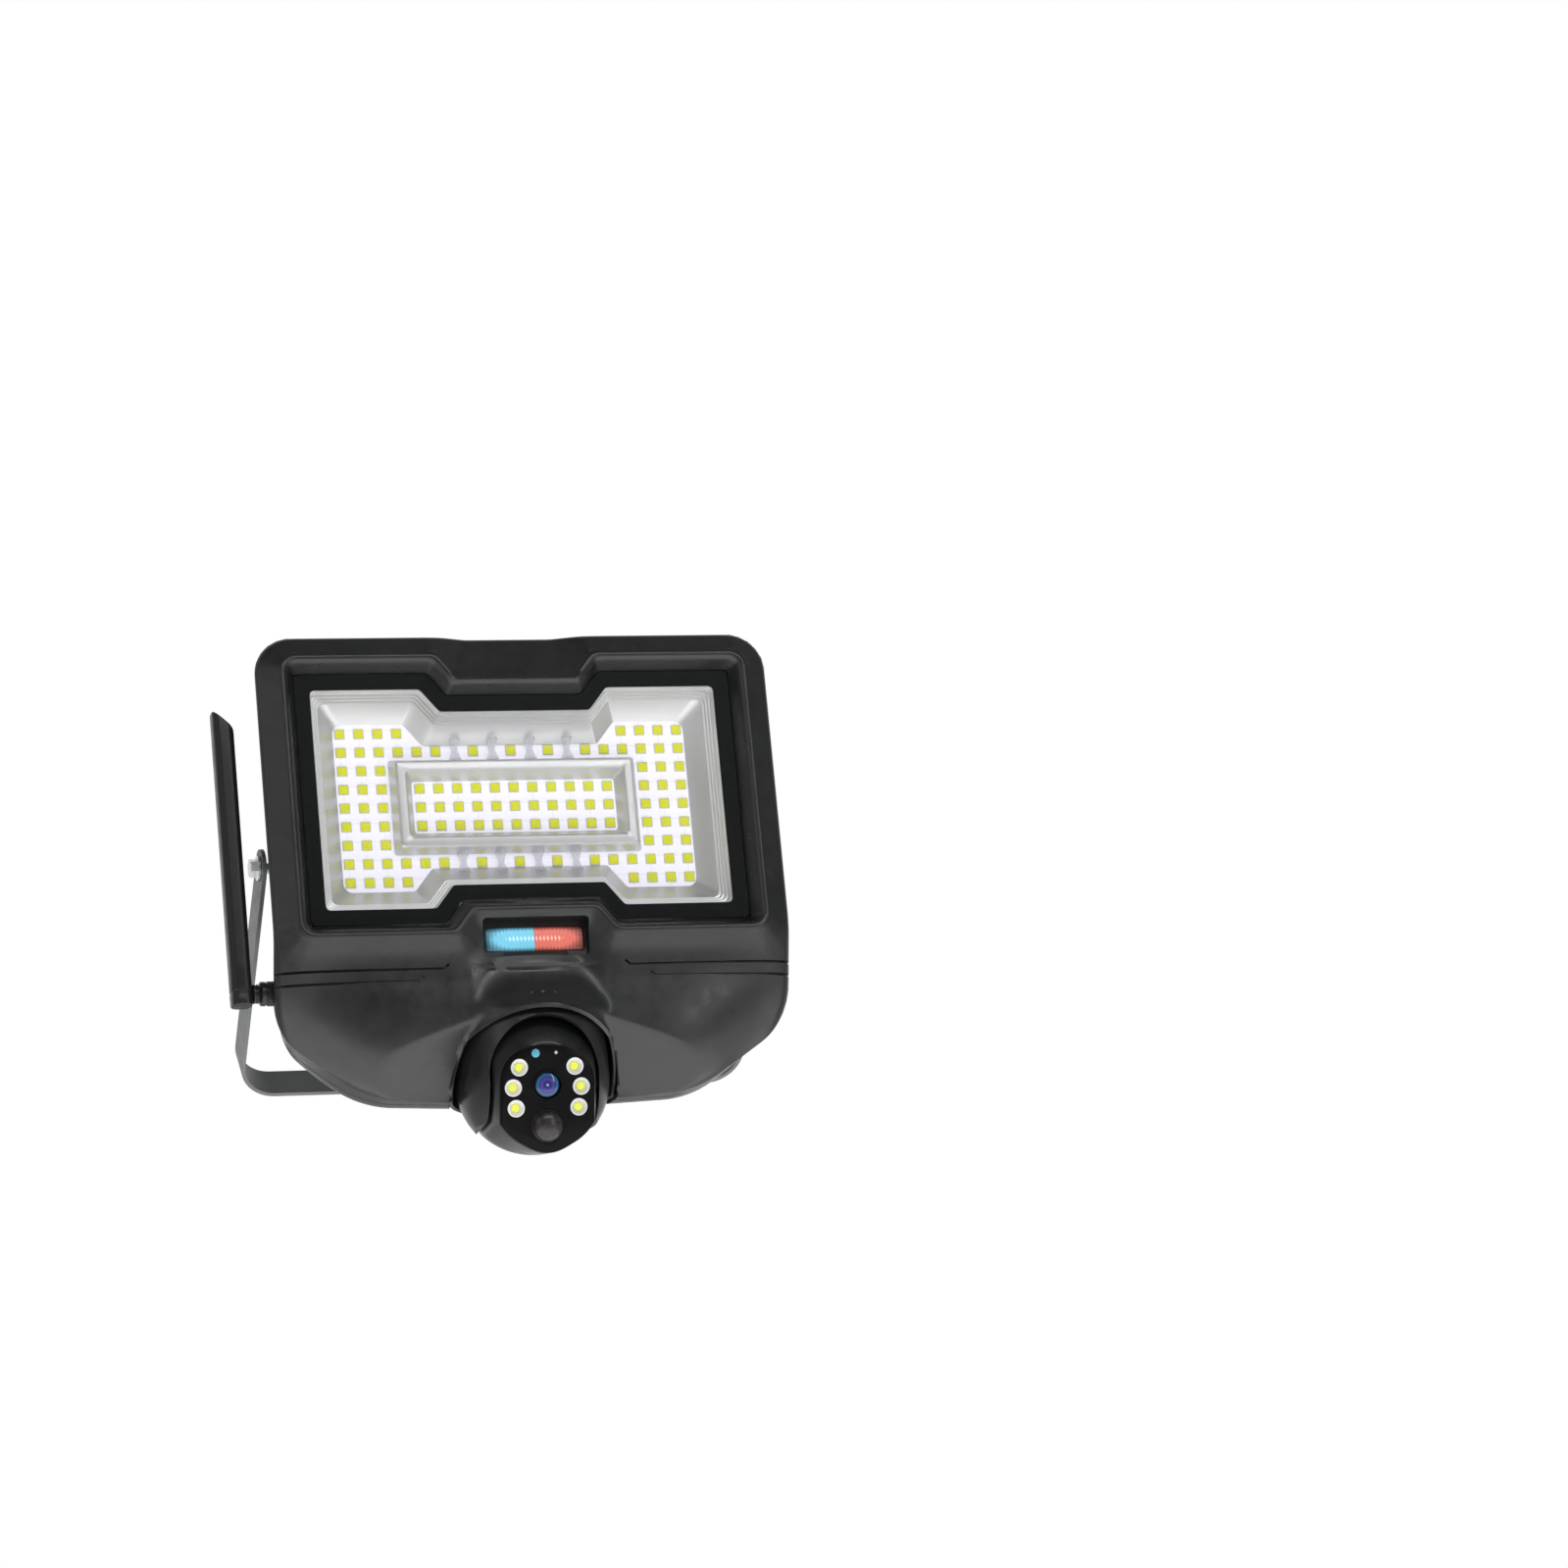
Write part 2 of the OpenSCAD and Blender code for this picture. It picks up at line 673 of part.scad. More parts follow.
// ---- Antenna ----
module antenna_socket() {
    color(dark) {
        rod_x(-ant_in + 0.3, 14, ant_y, ant_z, 3.2);
        rod_x(-ant_in + 0.9, 7, ant_y, ant_z, 5.75);
        rod_x(-116.5, 2, ant_y, ant_z, 5.2);
    }
}
module antenna_knuckle() { color(dark) rod_x(-ant_in - 3.2, 3.2, ant_y, ant_z, 4.6); }
module paddle_form(i) {
    z0 = ant_z - 6 + i;
    intersection() {
        union() {
            rod_z(-138.6, ant_y - 1.6, z0, paddle_len, paddle_w / 2 - 0.6 - i);
            rod_z(-138.6, ant_y + 1.6, z0, paddle_len, paddle_w / 2 - 0.6 - i);
            translate([-138.6 - paddle_w / 2 + i, ant_y - 3, z0]) cube([paddle_w - 2 * i, 6, paddle_len]);
        }
        rotate([90, 0, 0]) linear_extrude(100, center = true)
            polygon([[-150, z0], [-120, z0], [-120, z0 + paddle_len - 18], [-138.6, z0 + paddle_len - 5],
                     [-144, z0 + paddle_len], [-150, z0 + paddle_len]]);
    }
}
module antenna_paddle() {
    color(dark) difference() {
        paddle_form(0);
        paddle_form(1.6);
    }
}
module antenna_element() { color(copper) box_c(-138.6, ant_y - 2, -20, 1, 4, 110); }

in_frame() mounting_bracket();
in_frame() front_housing();
in_frame() rear_housing();
in_frame() housing_gasket();
in_frame() housing_screws();
in_frame() glass_panel();
in_frame() glass_gasket();
in_frame() outer_reflector();
in_frame() inner_reflector();
in_frame() reflector_ribs();
in_frame() led_board();
in_frame() flood_leds();
in_frame() led_board_screws();
in_frame() heat_sink();
in_frame() alarm_lens_blue();
in_frame() alarm_lens_red();
in_frame() alarm_board();
in_frame() alarm_leds();
in_frame() microphone();
in_frame() speaker();
in_frame() controller_board();
in_frame() controller_chips();
in_frame() battery_cells();
in_frame() battery_tray();
in_frame() solar_socket();
in_frame() solar_socket_nut();
in_frame() vent_plug();
in_frame() card_cover();
in_frame() button_switch();
in_frame() power_button();
in_frame() pivot_bolts();
in_frame() pivot_washers();
in_frame() pivot_nuts();
in_frame() pan_motor();
in_frame() pan_bearing();
in_frame() yoke();
in_frame() pan_shaft();
in_frame() tilt_motor();
in_frame() yoke_screws();
in_frame() ball_front_shell();
in_frame() ball_rear_shell();
in_frame() face_plate();
in_frame() lens_barrel();
in_frame() lens_glass();
in_frame() spot_leds();
in_frame() spot_lenses();
in_frame() pir_dome();
in_frame() pir_sensor();
in_frame() light_sensor_window();
in_frame() status_light();
in_frame() camera_board();
in_frame() tilt_axle();
in_frame() antenna_socket();
in_frame() antenna_knuckle();
in_frame() antenna_paddle();
in_frame() antenna_element();
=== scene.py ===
"""Looks of the floodlight security camera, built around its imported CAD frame.

Lengths are in millimetres in the head's own axes (X right, Y back, Z up, with Y = 0 on the glass
front and Z = 0 at the lamp's centre) until to_row() turns them into the row's metres.
"""
import json
import math

import bmesh
import bpy
import numpy as np
from mathutils import Matrix, Vector


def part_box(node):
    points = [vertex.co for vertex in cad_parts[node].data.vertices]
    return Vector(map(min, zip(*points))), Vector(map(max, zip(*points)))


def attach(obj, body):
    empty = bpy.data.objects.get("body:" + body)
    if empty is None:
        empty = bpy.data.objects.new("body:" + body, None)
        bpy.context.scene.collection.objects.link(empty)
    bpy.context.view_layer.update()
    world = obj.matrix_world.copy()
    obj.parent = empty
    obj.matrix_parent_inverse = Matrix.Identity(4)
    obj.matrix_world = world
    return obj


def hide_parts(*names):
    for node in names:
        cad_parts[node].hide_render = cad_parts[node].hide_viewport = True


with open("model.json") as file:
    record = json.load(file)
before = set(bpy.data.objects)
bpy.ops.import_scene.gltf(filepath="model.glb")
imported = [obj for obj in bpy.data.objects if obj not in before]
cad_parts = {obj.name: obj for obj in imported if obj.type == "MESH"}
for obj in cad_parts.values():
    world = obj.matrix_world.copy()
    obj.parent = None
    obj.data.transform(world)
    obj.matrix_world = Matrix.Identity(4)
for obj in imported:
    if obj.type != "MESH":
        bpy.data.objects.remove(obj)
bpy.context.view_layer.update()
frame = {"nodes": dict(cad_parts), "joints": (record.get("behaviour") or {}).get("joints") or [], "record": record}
MM = 0.001
JOINTS = {j["name"]: j for j in frame["joints"]}
GLASS_LO, GLASS_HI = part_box("glass_panel")
ORIGIN = np.array([(GLASS_LO.x + GLASS_HI.x) / 2, GLASS_LO.y, (GLASS_LO.z + GLASS_HI.z) / 2])


def to_row(points):
    """Head millimetres to row metres."""
    return np.asarray(points, float) * MM + ORIGIN


def to_head(point):
    """Row metres to head millimetres."""
    return (np.array(point) - ORIGIN) / MM


def head_box(node):
    lo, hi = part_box(node)
    return to_head(lo), to_head(hi)


# ---- Driving dimensions ----
BORDER = 7.7
WINDOW = np.array([(GLASS_HI.x - GLASS_LO.x) / MM / 2 - BORDER, (GLASS_HI.z - GLASS_LO.z) / MM / 2 - BORDER])
NOTCH_DEPTH, NOTCH_HALF, NOTCH_RUN = 11.2, 36.8, 9.0
NOTCH_K = math.tan(math.atan2(NOTCH_DEPTH, NOTCH_RUN) / 2)
HALF_W, TOP_Z, SHOULDER_Z, CHIN_X, CHIN_Z = 125.0, 79.3, -109.8, 79.8, -140.0
SLANT = math.tan(math.radians(17))
RIM_Z, RIM_SLOPE = -127.5, 0.556
INLET_X, SPEAKER_X, SPEAKER_Z = 70, -62, -85
SPLIT_Y, BACK_Y, WALL = 34.0, 48.0, 2.6
BOARD_Y, LED_PITCH = 17.0, 9.2
ALARM_Z = -70.0
PAN = to_head(JOINTS["camera_pan"]["pos_m"])
PAN_Y, BALL_Z = PAN[1], PAN[2]
HOOD_IN, HOOD_OUT, ROOF_Z = 38.4, 40.3, -92.6
BALL_R, YOKE_R, FACE_D = 35.3, 36.7, 30.0
REST_TILT = math.radians(18)


# ---- Mesh tools ----
def new_object(name, verts, faces, metres=False):
    """A mesh object from head-millimetre vertices."""
    mesh = bpy.data.meshes.new(name)
    points = np.asarray(verts, float) if metres else to_row(verts)
    mesh.from_pydata([tuple(v) for v in points], [], [tuple(int(i) for i in f) for f in faces])
    mesh.validate()
    bm = bmesh.new()
    bm.from_mesh(mesh)
    bmesh.ops.recalc_face_normals(bm, faces=bm.faces)
    bm.to_mesh(mesh)
    bm.free()
    obj = bpy.data.objects.new(name, mesh)
    bpy.context.scene.collection.objects.link(obj)
    return obj


def smooth(obj, angle=30):
    for polygon in obj.data.polygons:
        polygon.use_smooth = True
    obj.data.set_sharp_from_angle(angle=math.radians(angle))


def apply_modifiers(obj):
    graph = bpy.context.evaluated_depsgraph_get()
    mesh = bpy.data.meshes.new_from_object(obj.evaluated_get(graph))
    obj.modifiers.clear()
    obj.data = mesh


def carve(obj, cutters, operation="DIFFERENCE"):
    """Boolean of obj with closed, separate cutters, which are then removed."""
    for cutter in cutters:
        modifier = obj.modifiers.new("carve", "BOOLEAN")
        modifier.operation = operation
        modifier.solver = "MANIFOLD"
        modifier.object = cutter
    apply_modifiers(obj)
    for cutter in cutters:
        bpy.data.objects.remove(cutter)


def bevel(obj, width, segments=2, angle=35):
    modifier = obj.modifiers.new("edges", "BEVEL")
    modifier.width = width * MM
    modifier.segments = segments
    modifier.limit_method = "ANGLE"
    modifier.angle_limit = math.radians(angle)


def turns(count):
    """Angles that divide a whole turn evenly."""
    return np.linspace(0, 2 * math.pi, count, endpoint=False)


def flat_ring(loop, y):
    """Points in space from X, Z points, at one depth or at a depth each."""
    return np.column_stack([loop[:, 0], np.broadcast_to(y, len(loop)), loop[:, 1]])


def polar_ring(angles, r, y):
    """A ring round the Y axis, by its distance from it."""
    return np.column_stack([r * np.cos(angles), np.full(len(angles), float(y)), r * np.sin(angles)])


def grid_faces(rows, cols, close_rows=False, first=0):
    """Quads between rows of cols points, each row closed on itself."""
    last = rows if close_rows else rows - 1
    r, c = np.meshgrid(np.arange(last), np.arange(cols), indexing="ij")
    r2, c2 = (r + 1) % rows, (c + 1) % cols
    quads = np.stack([r * cols + c, r * cols + c2, r2 * cols + c2, r2 * cols + c], -1)
    return (quads.reshape(-1, 4) + first).tolist()


def loft(name, rings, closed=False, first_cap=True):
    """A skin over rings with the same number of points each: closed on itself, or capped at its ends."""
    rings = [np.asarray(ring, float) for ring in rings]
    count = len(rings[0])
    faces = grid_faces(len(rings), count, closed)
    if not closed and first_cap:
        faces.append(list(range(count))[::-1])
    if not closed:
        faces.append(list(range((len(rings) - 1) * count, len(rings) * count)))
    return new_object(name, np.concatenate(rings), faces)


def revolve(name, profile, axis="z", centre=(0, 0, 0), segments=64, wave=None):
    """A closed solid of revolution. profile is (radius, height) pairs; a radius of 0 closes an end."""
    angles = turns(segments)
    rings = []
    for radius, height in profile:
        r = max(radius, 0.004) * (1 if wave is None else wave(angles, radius, height))
        a, b, h = r * np.cos(angles), r * np.sin(angles), np.full(segments, float(height))
        rings.append(np.stack({"z": (a, b, h), "x": (h, a, b), "y": (a, h, b)}[axis], 1) + np.array(centre))
    return loft(name, rings)


def curve(r, start, end, count, base=0.0, rise=None):
    """(radius, height) points along part of an ellipse, by angles in degrees."""
    rise = r if rise is None else rise
    return [(r * math.cos(t), base + rise * math.sin(t)) for t in np.radians(np.linspace(start, end, count))]


def box(lo, hi):
    """A square cutter."""
    x0, y0, z0 = lo
    x1, y1, z1 = hi
    verts = [(x, y, z) for x in (x0, x1) for y in (y0, y1) for z in (z0, z1)]
    faces = [(0, 1, 3, 2), (4, 6, 7, 5), (0, 4, 5, 1), (2, 3, 7, 6), (0, 2, 6, 4), (1, 5, 7, 3)]
    return new_object("cut", verts, faces)


def rod(start, end, r, segments=32):
    """A round cutter between two points."""
    start, end = np.array(start, float), np.array(end, float)
    axis = Vector(end - start).normalized()
    side = axis.orthogonal().normalized()
    up = axis.cross(side)
    turn = turns(segments)
    ring = r * (np.outer(np.cos(turn), side) + np.outer(np.sin(turn), up))
    return loft("cut", [ring + start, ring + end])


def join(name, objects):
    """One mesh from several."""
    bm = bmesh.new()
    for obj in objects:
        bm.from_mesh(obj.data)
        bpy.data.objects.remove(obj)
    mesh = bpy.data.meshes.new(name)
    bm.to_mesh(mesh)
    bm.free()
    obj = bpy.data.objects.new(name, mesh)
    bpy.context.scene.collection.objects.link(obj)
    return obj


# ---- Outlines ----
def fillet(corners, radii, count=9):
    """A closed outline with rounded corners. Returns its points and the place of each corner's middle."""
    corners = np.asarray(corners, float)
    points, middles = [], []
    total = len(corners)
    for k in range(total):
        here, before, after = corners[k], corners[k - 1], corners[(k + 1) % total]
        u, v = before - here, after - here
        lu, lv = np.linalg.norm(u), np.linalg.norm(v)
        u, v = u / lu, v / lv
        half = math.acos(np.clip(u @ v, -1, 1)) / 2
        reach = min(radii[k] / max(math.tan(half), 1e-6), 0.49 * lu, 0.49 * lv)
        r = reach * math.tan(half)
        centre = here + (u + v) / np.linalg.norm(u + v) * (r / math.sin(half))
        a, b = here + u * reach - centre, here + v * reach - centre
        sweep = math.pi - 2 * half
        side = 1 if a[0] * b[1] - a[1] * b[0] > 0 else -1
        for j in range(count):
            t = side * sweep * j / (count - 1)
            c, s = math.cos(t), math.sin(t)
            points.append(centre + np.array([a[0] * c - a[1] * s, a[0] * s + a[1] * c]))
        middles.append(k * count + count // 2)
    return np.array(points), middles


def resample(points, knots, counts):
    """Points spread evenly along each stretch between knots."""
    out = []
    total = len(points)
    for k, count in enumerate(counts):
        i, j = knots[k], knots[(k + 1) % len(knots)]
        j = j if j > i else j + total
        stretch = points[np.arange(i, j + 1) % total]
        steps = np.linalg.norm(np.diff(stretch, axis=0), axis=1)
        along = np.concatenate([[0], np.cumsum(steps)])
        at = np.linspace(0, along[-1], count, endpoint=False)
        out.append(np.stack([np.interp(at, along, stretch[:, 0]), np.interp(at, along, stretch[:, 1])], 1))
    return np.concatenate(out)


def bowtie(inset):
    """The twelve corners of the window's bow-tie outline, moved inwards."""
    w, h = WINDOW - inset
    run, flat = NOTCH_HALF + NOTCH_RUN + inset * NOTCH_K, NOTCH_HALF + inset * NOTCH_K
    low = h - NOTCH_DEPTH
    upper = [(w, h), (run, h), (flat, low), (-flat, low), (-run, h), (-w, h)]
    return upper + [(x, -z) for x, z in upper[::-1]]


RING_COUNTS = [30, 8, 54, 8, 30, 70, 34, 10, 58, 10, 34, 70]


def bowtie_loop(inset, corner=0.8, notch=1.5):
    radii = [corner, notch, notch, notch, notch, corner] * 2
    points, middles = fillet(bowtie(inset), radii)
    return resample(points, middles, RING_COUNTS)


def head_outline():
    """The head's outline, matched point by point with the bow-tie loops."""
    corners = [(HALF_W, TOP_Z), (-HALF_W, TOP_Z), (-HALF_W, SHOULDER_Z), (-CHIN_X, CHIN_Z), (0, -143.5),
               (CHIN_X, CHIN_Z), (HALF_W, SHOULDER_Z)]
    points, middles = fillet(corners, [18, 18, 30, 50, 300, 50, 30], 15)

    def near(x, z):
        return int(np.argmin(np.linalg.norm(dense - np.array([x, z]), axis=1)))

    dense = []
    for k in range(len(points)):
        a, b = points[k], points[(k + 1) % len(points)]
        n = max(1, int(np.linalg.norm(b - a) / 0.5))
        dense += [a + (b - a) * j / n for j in range(n)]
    dense = np.array(dense)
    places = [points[middles[0]], (47, TOP_Z), (38, TOP_Z), (-38, TOP_Z), (-47, TOP_Z), points[middles[1]],
              points[middles[2]], (-66, -141.5), (-50, -142), (50, -142), (66, -141.5), points[middles[6]]]
    return resample(dense, [near(*place) for place in places], RING_COUNTS)


# ---- Height of the head's front ----
def smooth_min(a, b, k):
    h = np.clip(0.5 + 0.5 * (b - a) / k, 0, 1)
    return b + (a - b) * h - k * h * (1 - h)


def smooth_max(a, b, k):
    return -smooth_min(-a, -b, k)


def smooth_step(x, a, b):
    t = np.clip((x - a) / (b - a), 0, 1)
    return t * t * (3 - 2 * t)


RIDGE_TOP, RIDGE_AT, RIDGE_SLOPE = -7.6, 6.4, 0.5
CREST_RING = 9.0
LIP_Z, LIP_HALF = -82.6, 32.0


def ridge(d):
    """Depth of the raised rim, by distance outside the glass."""
    inner = 0.6 - 1.75 * (d - 0.2)
    outer = RIDGE_TOP + RIDGE_SLOPE * (d - RIDGE_AT)
    return smooth_max(inner, outer, 5.0)


CHIN_REACH, CHIN_DEPTH = 48.0, 25.0
SIDE_N = np.array([math.sin(math.radians(33.75)), -math.cos(math.radians(33.75))])
SIDE_OFF = SIDE_N @ np.array([HALF_W, SHOULDER_Z])
LOW_N = np.array([0.0438, -0.9990])
LOW_OFF = LOW_N @ np.array([CHIN_X, CHIN_Z])


def chin_depth(x, z):
    """Depth of the chin: it curls back to the outline, with a flat facet on each side of the turret."""
    ax = np.abs(x)
    slanted = SIDE_OFF - (SIDE_N[0] * ax + SIDE_N[1] * z)
    low = LOW_OFF - (LOW_N[0] * ax + LOW_N[1] * z)
    inside = smooth_min(slanted, low, 7.6)
    u = np.clip((CHIN_REACH - inside) / CHIN_REACH, 0, 1)
    curl = CHIN_DEPTH * (1 - np.sqrt(np.maximum(1 - u * u, 0)))
    wing = 1.8 - 1.05 * (z + 114) - 0.28 * (ax - 50)
    return smooth_min(smooth_max(curl, wing, 1.5), 31.0, 2.0)


def hood_depth(x, z):
    """Depth of the hood over the turret: a cone that widens downwards to the turret's wall."""
    r = 28 + (HOOD_OUT - 28) * np.clip((-z - 78) / 27.2, 0, 1)
    inside = np.maximum(r * r - x * x, 0)
    return np.where(np.abs(x) < r, PAN_Y - np.sqrt(inside), PAN_Y + (np.abs(x) - r) * 2)


def segment_distance(points, loop):
    """Distance from each point to a closed loop."""
    a, b = loop, np.roll(loop, -1, axis=0)
    ab = b - a
    length = np.maximum((ab * ab).sum(1), 1e-12)
    best = np.full(len(points), 1e9)
    for k in range(len(a)):
        t = np.clip(((points - a[k]) @ ab[k]) / length[k], 0, 1)
        best = np.minimum(best, np.linalg.norm(points - a[k] - t[:, None] * ab[k], axis=1))
    return best


def crest_loop(d):
    return bowtie_loop(-BORDER - d, corner=1.2 + 0.9 * d, notch=2.0 + 0.45 * d)


def front_depth(points, d, edge):
    """Y of the head's front at X, Z points. d is the distance from the glass, edge the one to the outline."""
    x, z = points[:, 0], points[:, 1]
    rim = ridge(d)
    # the sunk panel over the lamp's notch
    notch = -6.3 + RIDGE_SLOPE * (z - 61)
    rim = np.where((z > 0) & (np.abs(x) < 60) & (d > RIDGE_AT - 0.6), smooth_min(rim, notch, 0.8), rim)
    # the hood grows out of the chin, under a ledge below the warning light
    blend = 3.0 + 9.0 * smooth_step(z, -112, -99)
    lower = smooth_min(chin_depth(x, z), hood_depth(x, z), blend)
    across = np.clip(1 - (x / LIP_HALF) ** 2, 0, 1)
    under = np.clip((LIP_Z - z) / np.maximum(3.0 * across, 0.6), 0, 1) * (1 - smooth_step(-z, 87, 107))
    lower = lower + 2.3 * under * across
    lower = lower + 0.35 * np.maximum(z + 70, 0) * smooth_step(np.abs(x), 60, 96)
    y = np.where(z < 0, smooth_min(rim, lower, 4.0), rim)
    # rounded outer edge
    r = 1.6 + 2.6 * smooth_step(-z, 62, 84)
    inward = np.clip(r - edge, 0, r)
    side = smooth_step(z, -128, -104)
    return y + (r - np.sqrt(np.maximum(r * r - inward * inward, 0))) * side


def front_rings():
    """Outer rings of the front housing, from the glass seat to the split line."""
    rings = [flat_ring(crest_loop(0.15), 4.0)]
    for d in np.concatenate([[0.15, 0.3], np.arange(0.6, CREST_RING + 0.01, 0.42)]):
        loop = crest_loop(d)
        depth = front_depth(loop, np.full(len(loop), d), np.full(len(loop), 50.0))
        rings.append(flat_ring(loop, 0.9 if d < 0.2 else depth))
    crest, outer = crest_loop(CREST_RING), head_outline()
    last_steps = 1 - 0.035 * np.array([0.6, 0.34, 0.16, 0.05, 0.0])
    for t in np.concatenate([np.linspace(0, 0.965, 74)[1:], last_steps]):
        loop = crest + (outer - crest) * t
        d = CREST_RING + segment_distance(loop, crest[::2])
        edge = segment_distance(loop, outer[::2])
        y = front_depth(loop, d, edge if t < 1 else np.zeros(len(loop)))
        rings.append(flat_ring(loop, y))
    edge_y = rings[-1][:, 1]
    for t in (0.04, 0.12, 0.3, 0.6, 1.0):
        y = edge_y + (SPLIT_Y - 0.6 - edge_y) * t
        rings.append(flat_ring(slanted_in(outer, y - edge_y), y))
    return rings


def outline_normal(loop):
    """Outward normals of a loop that runs anticlockwise."""
    tangent = np.roll(loop, -1, axis=0) - np.roll(loop, 1, axis=0)
    normal = np.column_stack([tangent[:, 1], -tangent[:, 0]])
    return normal / np.linalg.norm(normal, axis=1)[:, None]


def slanted_in(loop, run):
    """The outline after its slanted side has run back by some depth. The bottom goes straight back."""
    shift = run * SLANT * smooth_step(loop[:, 1], -132, -100)
    return loop - outline_normal(loop) * shift[:, None]


def turret_cutters():
    """The turret's inner space, and what its slanted rim leaves open."""
    inside = revolve("cut", [(0, -175), (HOOD_IN, -175), (HOOD_IN, -106), (29, ROOF_Z), (0, ROOF_Z)],
                     centre=(0, PAN_Y, 0), segments=128)
    r = HOOD_OUT + 0.25
    angles = turns(128)
    x, y = r * np.cos(angles), PAN_Y + r * np.sin(angles)
    top = rim_height(y)
    rings = [np.column_stack([x, y, np.full(128, -180.0)]), np.column_stack([x, y, top])]
    return inside, loft("cut", rings)


def rim_height(y):
    """Height of the turret's rim, which climbs towards the front."""
    return RIM_Z - RIM_SLOPE * np.minimum(y - PAN_Y, 0)


def front_housing():
    outer = front_rings()
    inner = []
    keep = list(range(2, len(outer) - 1, 4)) + [len(outer) - 1]
    for k in keep:
        ring = outer[k].copy()
        normal = outline_normal(ring[:, [0, 2]])
        side = k >= len(outer) - 5
        shift = WALL if side else WALL * min(1, max(0, (k - len(outer) + 14) / 9))
        ring[:, 0] -= normal[:, 0] * shift
        ring[:, 2] -= normal[:, 1] * shift
        if k < len(outer) - 1:
            ring[:, 1] = np.maximum(ring[:, 1] + WALL, 4.6 if k < 6 else -99)
        inner.append(ring)
    body = loft("front_shell", outer + inner[::-1], closed=True)
    triangulate(body)
    cutters = list(turret_cutters())
    cutters += alarm_cutters(1.6) + mic_holes()
    for s in (-1, 1):
        cutters.append(groove(s, -84.0, 45.0))
        cutters.append(groove(s, -89.6, 57.0))
    cutters.append(rod((-140, 19, -89), (-112, 19, -89), 3.3))
    carve(body, cutters)
    return body


def alarm_cutters(floor):
    """The warning light's pocket, down to a floor, and the window through it."""
    return [rounded_box((-25.8, 25.8), (-40, floor), (ALARM_Z - 9, ALARM_Z + 9), 2.0),
            rounded_box((-24.2, 24.2), (1.0, 12), (ALARM_Z - 6.2, ALARM_Z + 6.2), 1.2)]


def mic_holes():
    return [rod((k * 5.9, -18, -98), (k * 5.9, -7.2, -98), 0.75, 20) for k in (-1, 0, 1)]


def groove(side, z, start):
    """A fine groove from near the middle to the side, with a hooked inner end."""
    w, cut = 0.6, 0.5
    path = [(start - 2.2, z + 2.0), (start, z)] + [(x, z) for x in (80, 110, 118, 121, 123, 124.4, 125.5)]
    rings = []
    for k, (x, zz) in enumerate(path):
        dx, dz = ((0.74, -0.67), (0.94, -0.34))[k] if k < 2 else (1, 0)
        nx, nz = -dz * w, dx * w
        at = np.array([[min(x, HALF_W), zz]])
        deep = float(front_depth(at, np.array([99.0]), np.array([max(HALF_W - x, 0.0)]))[0]) + cut
        rings.append([(side * (x + nx), -6, zz + nz), (side * (x - nx), -6, zz - nz),
                      (side * (x - nx), deep, zz - nz), (side * (x + nx), deep, zz + nz)])
    return loft("cut", rings)


def rounded_box(xs, ys, zs, r):
    """A cutter with rounded edges along Y."""
    points, _ = fillet([(xs[1], zs[1]), (xs[0], zs[1]), (xs[0], zs[0]), (xs[1], zs[0])], [r] * 4, 7)
    return loft("cut", [flat_ring(points, y) for y in ys])


def alarm_tray():
    """The black pocket round the warning light, behind the shell's opening."""
    section = [(-58.6, -5.2), (-66.5, 1.2), (-79.5, 2.4), (-79.5, 4.3), (-58.6, 4.3)]
    rings = [[(x, y, z) for z, y in section] for x in (-26.4, 26.4)]
    tray = loft("alarm_pocket", rings)
    carve(tray, alarm_cutters(1.7))
    return tray


def triangulate(obj, weld=0):
    bm = bmesh.new()
    bm.from_mesh(obj.data)
    if weld:
        bmesh.ops.remove_doubles(bm, verts=bm.verts, dist=weld)
    bmesh.ops.triangulate(bm, faces=bm.faces)
    bm.to_mesh(obj.data)
    bm.free()


def hood_bottom(x, y):
    """Lowest Z of the turret's wall at a point on it: the slanted rim, or the chin where it hangs lower."""
    rim = float(rim_height(np.array(y)))
    zs = np.linspace(-150, -100, 400)
    depth = chin_depth(np.full(400, abs(x)), zs)
    below = zs[(depth < y - 0.5)]
    return min(rim, max(below.min() + 0.4, -140.4)) if len(below) else rim


def turret_wall():
    """The round wall and roof of the camera turret."""
    count = 144
    angles = turns(count)
    bottoms = np.array([hood_bottom(HOOD_OUT * math.cos(a), PAN_Y + HOOD_OUT * math.sin(a)) for a in angles])

    def ring(r, z):
        return np.column_stack([r * np.cos(angles), PAN_Y + r * np.sin(angles), np.broadcast_to(z, count)])

    edge, outside = 0.7, HOOD_OUT - 0.05
    section = [(0.05, ROOF_Z + 2.4), (30.0, ROOF_Z + 2.4), (30.8, ROOF_Z + 2.0), (34.6, -97.4),
               (HOOD_OUT - 2.2, -103.0), (HOOD_OUT - 1.3, -104.6), (outside, -105.6),
               (outside, bottoms * 0.5 - 105.6 * 0.5), (outside, bottoms + edge),
               (HOOD_OUT - 0.2, bottoms + 0.15), (HOOD_OUT - edge - 0.05, bottoms),
               (HOOD_IN + edge, bottoms), (HOOD_IN + 0.1, bottoms + edge),
               (HOOD_IN + 0.05, -106.0), (29, ROOF_Z), (7.2, ROOF_Z), (7.2, ROOF_Z + 2.3)]
    wall = loft("turret_wall", [ring(r, z) for r, z in section], closed=True)
    carve(wall, mic_holes())
    return wall


